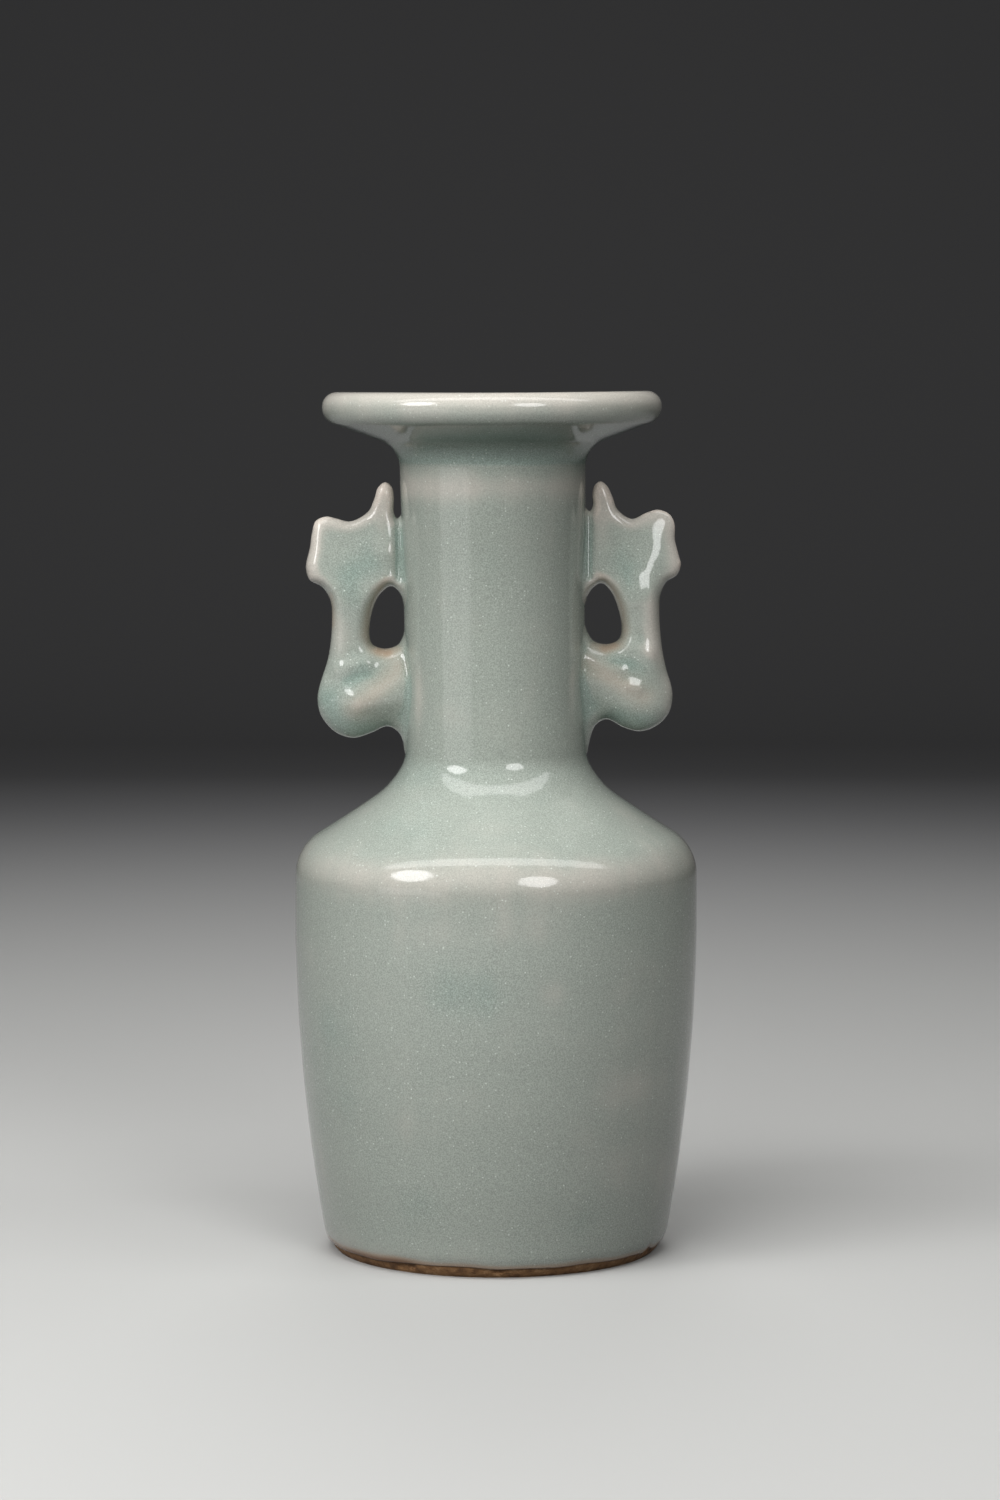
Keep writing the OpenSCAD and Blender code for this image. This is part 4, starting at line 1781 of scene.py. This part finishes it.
@dataclass
class PhoenixHandle:
    """One phoenix-shaped loop handle; its sizes are in millimetres."""

    side: Side
    form: ThrownForm
    flow: GlazeFlow
    model: Modelling
    # Width of the rounded rim by height
    rounding: Sequence[Point] = (
        (0.0, 5.0), (9.0, 8.2), (13.0, 7.8), (17.0, 4.4), (20.0, 3.0), (28.0, 2.8), (33.0, 2.5),
        (38.0, 2.3), (44.0, 2.0), (47.0, 1.6), (54.0, 1.3),
    )
    # How much the glaze thins over the rim by height, and how far in
    rim_thin: Sequence[Point] = (
        (0.0, 0.0), (11.0, 0.0), (19.0, 0.07), (30.0, 0.09), (36.0, 0.29), (54.0, 0.29),
    )
    rim_width: float = 2.2
    # Height over which these tables are smoothed, and the least half thickness
    soft: float = 2.5
    least_half: float = 0.7
    # Points of the outline from one place to the next
    rim_steps: int = 8
    # Map of distances from the outline, and how far it runs on past it
    map_start: Point = (-3.4, -4.0)
    map_step: float = 0.2
    map_margin: float = 3.0
    # Glaze fillet to the neck, and how far the neck's skin lies inside its even radius
    fillet: float = 1.7
    wall_inset: float = 0.07
    # How far the skirt lies under that skin, the root in the wall, and the trim past the fillet
    sink: float = 0.03
    root: float = 0.8
    trim: float = 0.3
    # Mesh: its size, the block that it fills, and the cells that count as far away
    cell: float = 0.32
    far_cells: float = 4.0
    block_low: Point = (-2.6, -3.0)
    block_half: float = 8.0
    block_margin: float = 1.2
    # How deep in the wall and how far past the fillet points are settled, and how often
    settled: Point = (0.3, 0.1)
    settle_rounds: int = 2
    # How often the bend of the surface is blurred
    blur_rounds: int = 10
    # Bends where ridges start and are full, and how much the glaze thins on them
    ridge_bend: Point = (0.22, 0.8)
    ridge_thin: float = 0.12
    # The same for hollows, and how much it pools in them
    hollow_bend: Point = (-0.1, 0.4)
    hollow_pool: float = 0.2
    # Where the neck's glaze pools round the handle, as reach, depth and height, and its fade
    near_low: Sequence[float] = (-8.0, -12.0, -2.0)
    near_high: Sequence[float] = (math.inf, 12.0, 50.0)
    near_fade: float = 1.3

    def __post_init__(self) -> None:
        """Lay out the outline and the map of distances from it."""
        self.rim = self.smooth_outline()
        self.rim_map = self.distance_map()

    def smooth_outline(self) -> Array:
        """Run a smooth closed curve through the outline.

        Returns:
            The points of the curve.
        """
        places = np.array(self.model.outline)
        made = []
        for n in range(len(places)):
            p = [places[(n + k - 1) % len(places)] for k in range(4)]
            knots = [0.0]
            for k in range(3):
                knots.append(knots[-1] + max(math.sqrt(math.dist(p[k], p[k + 1])), NEAR))
            for t in np.linspace(knots[1], knots[2], self.rim_steps, endpoint=False):
                a = [((knots[k + 1] - t) * p[k] + (t - knots[k]) * p[k + 1]) / (knots[k + 1] - knots[k])
                     for k in range(3)]
                b = [((knots[k + 2] - t) * a[k] + (t - knots[k]) * a[k + 1]) / (knots[k + 2] - knots[k])
                     for k in range(2)]
                made.append(((knots[2] - t) * b[0] + (t - knots[1]) * b[1]) / (knots[2] - knots[1]))
        return np.array(made)

    def distance_map(self) -> SmoothMap:
        """Map a smooth distance from the outline, positive inside, that has no creases.

        Each stretch of the outline pulls with the inverse cube of its distance, so that the pull
        of them all gives a distance that is exact at the outline and smooth between its sides.

        Returns:
            The map.
        """
        tops = self.rim.max(axis=0) + self.map_margin
        reach, height = (np.arange(low, top, self.map_step) for low, top in zip(self.map_start, tops))
        u, h = (grid.ravel() for grid in np.meshgrid(reach, height, indexing="ij"))
        pull = np.zeros(u.size)
        inside = np.zeros(u.size, bool)
        for (u0, h0), (u1, h1) in zip(self.rim, np.roll(self.rim, -1, axis=0)):
            length = math.hypot(u1 - u0, h1 - h0)
            if length < NEAR:
                continue
            du, dh = (u1 - u0) / length, (h1 - h0) / length
            s0 = (u0 - u) * du + (h0 - h) * dh
            s1 = s0 + length
            off2 = np.maximum(((u0 - u) * dh - (h0 - h) * du) ** 2, NEAR * MM)
            far0, far1 = np.sqrt(off2 + s0**2), np.sqrt(off2 + s1**2)
            same = s0 * s1 > 0.0
            along = np.where(same, s1 * far0 + s0 * far1, 1.0)
            pull += np.where(same, (s1**2 - s0**2) / (far0 * far1 * along), (s1 / far1 - s0 / far0) / off2)
            if h1 != h0:
                crosses = (h0 > h) != (h1 > h)
                inside ^= crosses & (u < u0 + (h - h0) * (u1 - u0) / (h1 - h0))
        distance = 1.0 / np.sqrt(np.maximum(pull / 2.0, NEAR))
        signed = np.where(inside, distance, -distance)
        return SmoothMap(signed.reshape(reach.size, height.size), self.map_start, self.map_step)

    def local(self, places: Array) -> Array:
        """Turn places in the frame into reach, depth and height in the handle's own millimetres."""
        x, y, z = places.T
        return np.stack([self.side.value * x - self.form.neck_r, y, z - self.form.neck_foot], axis=1) / MM

    def world(self, places: Array) -> Array:
        """Turn reach, depth and height in the handle's own millimetres into places in the frame."""
        u, y, h = places.T * MM
        return np.stack([self.side.value * (u + self.form.neck_r), y, h + self.form.neck_foot], axis=1)

    def half_at(self, u: Array, h: Array) -> Array:
        """Give the bird's half thickness at some places."""
        modelled = graded(h, self.model.thickness, self.soft) + sum(t.at(u, h) for t in self.model.touches)
        return np.maximum(modelled, self.least_half)

    def rounding_at(self, u: Array, h: Array) -> Array:
        """Give the width of the rounded rim at some places."""
        return graded(h, self.rounding, self.soft) + sum(bevel.at(u, h) for bevel in self.model.bevels)

    def bird(self, places: Array) -> Array:
        """Measure how far places lie outside the bird itself.

        Args:
            places: reach, depth and height.

        Returns:
            About the distance, negative inside.
        """
        u, y, h = places.T
        rounding = self.rounding_at(u, h)
        half = self.half_at(u, h)
        edge = 1.0 - np.minimum(self.rim_map.read(u, h) / rounding, 1.0)
        side = y / half
        size = np.sqrt(edge**2 + side**2)
        slope = np.sqrt((edge / rounding) ** 2 + (side / half) ** 2)
        return (size - 1.0) * np.where(slope > NEAR, size / np.maximum(slope, NEAR), half)

    def wall(self, places: Array) -> Array:
        """Measure how far places lie outside the neck's skin.

        Args:
            places: reach, depth and height.

        Returns:
            The distance, negative inside.
        """
        form = self.form
        z = places[:, 2] * MM + form.neck_foot
        radius = form.neck_at(z) / MM - self.wall_inset
        x = places[:, 0] + (form.neck_r - self.side.value * form.axis_at(z)) / MM
        return np.hypot(x, places[:, 1]) - radius

    def surface(self, places: Array) -> Array:
        """Measure how far places lie outside bird and neck, joined by a fillet of glaze.

        Args:
            places: reach, depth and height.

        Returns:
            About the distance, negative inside.
        """
        bird = self.bird(places)
        wall = self.wall(places) + self.sink
        meet = np.maximum(self.fillet - np.abs(bird - wall), 0.0) / self.fillet
        return np.minimum(bird, wall) - meet**3 * self.fillet / 6.0

    def slopes(self, places: Array) -> tuple[Array, Array]:
        """Work out how the distance changes round places, over half a cell.

        Args:
            places: reach, depth and height.

        Returns:
            Its slope, and how strongly the surface bends outwards.
        """
        step = self.cell / 2.0
        middle = self.surface(places)
        slope = np.empty_like(places)
        bend = np.zeros(len(places))
        for axis, shift in enumerate(step * np.eye(3)):
            ahead, behind = self.surface(places + shift), self.surface(places - shift)
            slope[:, axis] = (ahead - behind) / (2.0 * step)
            bend += (ahead + behind - 2.0 * middle) / step**2
        return slope, bend

    def nearness(self, points: Array) -> Array:
        """Say how near points of the wall are to this handle, where its glaze pools.

        Args:
            points: points in the frame.

        Returns:
            1 at the handle's edge, fading to 0.
        """
        places = self.local(points)
        around = ((places > np.array(self.near_low)) & (places < np.array(self.near_high))).all(axis=1)
        near = np.zeros(len(points))
        near[around] = np.exp(-np.maximum(self.bird(places[around]), 0.0) / self.near_fade)
        return near

    def block(self) -> tuple[Array, Array]:
        """Mesh the handle and its root in the neck's wall.

        Returns:
            Places of the points, and corners of the faces.
        """
        reach, height = self.rim.max(axis=0) + self.block_margin
        low = np.array([self.block_low[0], -self.block_half, self.block_low[1]])
        high = np.array([reach, self.block_half, height])
        counts = np.ceil((high - low) / self.cell).astype(int) + 1
        axes = [start + self.cell * np.arange(count) for start, count in zip(low, counts)]
        places = np.stack(np.meshgrid(*axes, indexing="ij"), axis=-1).reshape(-1, 3)
        cut = np.maximum(-self.root - self.wall(places), self.bird(places) - self.fillet - self.trim)
        solid = np.maximum(self.surface(places), cut)
        grid = openvdb.FloatGrid()
        grid.background = self.far_cells * self.cell
        grid.copyFromArray(solid.reshape(counts).astype(np.float32))
        grid.transform = openvdb.createLinearTransform(self.cell)
        corners, quads = grid.convertToQuads(0.0)
        return np.asarray(corners, float) + low, np.asarray(quads, int)

    def settle(self, places: Array) -> Array:
        """Move points that show onto the smooth surface.

        Args:
            places: points of the mesh.

        Returns:
            The points on the surface.
        """
        deep, past = self.settled
        shown = (self.wall(places) > -deep) & (self.bird(places) < self.fillet + past)
        for _ in range(self.settle_rounds):
            slope, _ = self.slopes(places)
            steep = np.maximum((slope**2).sum(axis=1, keepdims=True), NEAR)
            move = np.clip(self.surface(places)[:, None] * slope / steep, -self.cell, self.cell)
            places = np.where(shown[:, None], places - move, places)
        return places

    def skin(self) -> Skin:
        """Mesh the handle, with glaze that is thin on ridges and deep in hollows, and the painted light and
        shade of its spots.

        Returns:
            Its closed skin.
        """
        places, faces = self.block()
        places = self.settle(places)
        slope, bend = self.slopes(places)
        normals = unit(slope) * np.array([self.side.value, 1.0, 1.0])
        points = self.world(places)
        if (face_normals(points, faces) * normals[faces[:, 0]]).sum() < 0.0:
            faces = faces[:, ::-1]
        u, h = places[:, 0], places[:, 2]
        bend = self.softened(bend, faces)
        near_rim = swell(np.maximum(self.rim_map.read(u, h), 0.0), 0.0, self.rim_width)
        depth = self.flow.plain - self.ridge_thin * ease(bend, *self.ridge_bend)
        depth += self.hollow_pool * ease(-bend, *self.hollow_bend)
        depth -= near_rim * graded(h, self.rim_thin, self.soft)
        depth -= sum(spot.at(u, h) for spot in self.model.thin_and_painted_light_spots)
        tint = np.clip(sum(spot.at(u, h) for spot in self.model.warm_and_painted_shade_spots), 0.0, 1.0)
        return Skin(points, faces, depth, tint, point_normals=normals)

    def softened(self, values: Array, faces: Array) -> Array:
        """Spread values over the mesh, each point taking half from its neighbours.

        Args:
            values: value at each point.
            faces: corners of the faces.

        Returns:
            The softened values.
        """
        here, there = faces.ravel(), np.roll(faces, -1, axis=1).ravel()
        ends, others = np.concatenate([here, there]), np.concatenate([there, here])
        counts = np.maximum(np.bincount(ends, minlength=len(values)), 1)
        for _ in range(self.blur_rounds):
            around = np.bincount(ends, weights=values[others], minlength=len(values)) / counts
            values = (values + around) / 2.0
        return values

    def build(self, glaze: bpy.types.Material) -> bpy.types.Object:
        """Make the handle.

        Args:
            glaze: its finish.

        Returns:
            The piece, which stands for both halves of the bird and its pads.
        """
        side = self.side.name.lower()
        nodes = [f"{side}_{part}" for part in ("phoenix_front", "phoenix_back", "head_pad", "breast_pad")]
        return self.skin().piece(f"{side}_phoenix_glazed", glaze, GLAZE_SLOT, nodes)


@dataclass(frozen=True)
class SlipRings:
    """Slip in the luted seams, which keeps the frame's meshes."""

    names: Sequence[str] = ("base_slip", "shoulder_slip", "neck_slip", "mouth_slip")

    def dress(self, slip: bpy.types.Material) -> list[bpy.types.Object]:
        """Give the rings their finish.

        Args:
            slip: the finish.

        Returns:
            The rings.
        """
        rings = [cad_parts[name] for name in self.names]
        for ring in rings:
            ring.data.materials.clear()
            ring.data.materials.append(slip)
        return rings


# Studio


@dataclass(frozen=True)
class Softbox:
    """A soft lamp that looks at the vase, its angles in degrees from the camera and the horizon."""

    name: str
    azimuth: float
    elevation: float
    distance: float
    width: float
    height: float
    # Power in watts, and whether the glaze mirrors the lamp's face
    power: float
    mirrored: bool = True

    def build(self, target: Vector) -> bpy.types.Object:
        """Hang the lamp.

        Args:
            target: the point that it looks at.

        Returns:
            The lamp.
        """
        turn, rise = math.radians(self.azimuth), math.radians(self.elevation)
        way = Vector((math.sin(turn) * math.cos(rise), -math.cos(turn) * math.cos(rise), math.sin(rise)))
        lamp = bpy.data.lights.new(self.name, "AREA")
        lamp.shape = "ELLIPSE"
        lamp.size = self.width
        lamp.size_y = self.height
        lamp.energy = self.power
        made = bpy.data.objects.new(self.name, lamp)
        made.location = target + way * self.distance
        made.rotation_euler = (-way).to_track_quat("-Z", "Y").to_euler()
        made.visible_glossy = self.mirrored
        bpy.context.scene.collection.objects.link(made)
        return made


@dataclass
class Studio:
    """Pale paper sweep, soft lamps and the camera."""

    lamps: Sequence[Softbox] = (
        Softbox("key_softbox", -54.0, 33.0, 0.85, 0.33, 0.37, 2.5),
        Softbox("fill_softbox", 25.0, 26.0, 0.95, 0.34, 0.42, 2.2),
        Softbox("top_softbox", -1.0, 77.0, 0.8, 1.9, 0.28, 3.6),
        Softbox("side_panel", -50.0, -1.0, 0.9, 0.66, 0.24, 0.34),
        Softbox("front_bank", -24.0, 28.0, 0.67, 0.45, 0.25, 2.05, mirrored=False),
        Softbox("high_bank", -14.0, 70.0, 0.7, 0.5, 0.25, 1.9, mirrored=False),
        Softbox("back_bank", 180.0, 30.0, 0.9, 0.5, 0.4, 2.7, mirrored=False),
    )
    # Brightness of the room's walls
    walls: float = 0.02
    # Paper: half width, front edge, where it turns up behind the vase, that turn, and its top
    paper_half: float = 3.0
    paper_front: float = -2.4
    paper_back: float = 1.0
    paper_turn: float = 0.5
    paper_top: float = 2.4
    # Camera: its place, how far it looks down in degrees, and its lens and film in millimetres
    camera_x: float = 0.8 * MM
    camera_y: float = -810.0 * MM
    camera_drop: float = 5.0
    lens: float = 98.53
    film: float = 36.0

    def paper(self) -> bpy.types.Object:
        """Hang the paper sweep.

        Returns:
            The paper.
        """
        edge = Section((self.paper_front, 0.0))
        edge.line((self.paper_back, 0.0), Pace.PAPER)
        edge.arc((self.paper_back, self.paper_turn), self.paper_turn, -QUARTER, 0.0, Pace.SWEEP)
        edge.line((self.paper_back + self.paper_turn, self.paper_top), Pace.PAPER)
        points = [(x, y, z) for y, z in edge.points for x in (-self.paper_half, self.paper_half)]
        faces = [(2 * n, 2 * n + 1, 2 * n + 3, 2 * n + 2) for n in range(len(edge.points) - 1)]
        mesh = bpy.data.meshes.new("paper_sweep")
        mesh.from_pydata(points, [], faces)
        mesh.shade_smooth()
        mesh.materials.append(StudioPaper().material())
        made = bpy.data.objects.new("paper_sweep", mesh)
        bpy.context.scene.collection.objects.link(made)
        return made

    def room_light(self) -> bpy.types.World:
        """Give the room its dim walls.

        Returns:
            The world.
        """
        world = bpy.data.worlds.new("room")
        world.use_nodes = True
        world.node_tree.nodes["Background"].inputs["Strength"].default_value = self.walls
        return world

    def camera(self, eye_z: float) -> bpy.types.Object:
        """Set the camera up.

        Args:
            eye_z: its height.

        Returns:
            The camera.
        """
        lens = bpy.data.cameras.new("camera")
        lens.lens = self.lens
        lens.sensor_width = self.film
        made = bpy.data.objects.new("camera", lens)
        made.location = (self.camera_x, self.camera_y, eye_z)
        made.rotation_euler = (math.radians(QUARTER - self.camera_drop), 0.0, 0.0)
        bpy.context.scene.collection.objects.link(made)
        bpy.context.scene.camera = made
        return made

    def build(self, form: ThrownForm) -> None:
        """Set the whole studio up.

        Args:
            form: the vase that it looks at.
        """
        scene = bpy.context.scene
        scene.view_settings.view_transform = "Standard"
        scene.world = self.room_light()
        target = Vector((0.0, 0.0, form.rim_z / 2.0))
        self.paper()
        for lamp in self.lamps:
            lamp.build(target)
        self.camera(form.rim_z)


def main() -> None:
    """Dress the vase and set up its studio."""
    logging.basicConfig(level=logging.INFO, format="%(message)s")
    form = ThrownForm()
    flow = GlazeFlow()
    glaze = CeladonGlaze().material()
    handles = [
        PhoenixHandle(Side.LEFT, form, flow, LEFT_BIRD),
        PhoenixHandle(Side.RIGHT, form, flow, RIGHT_BIRD),
    ]
    made = [FootRing(form).build(BareClay().material()), BaseDisc().build(glaze)]
    made += ThrownSkin(form, flow, handles).build(glaze)
    made += [handle.build(glaze) for handle in handles]
    made += SlipRings().dress(SlipClay().material())
    for piece in made:
        log.info("%s: %d faces", piece.name, len(piece.data.polygons))
    Studio().build(form)


if __name__ == "__main__":
    main()
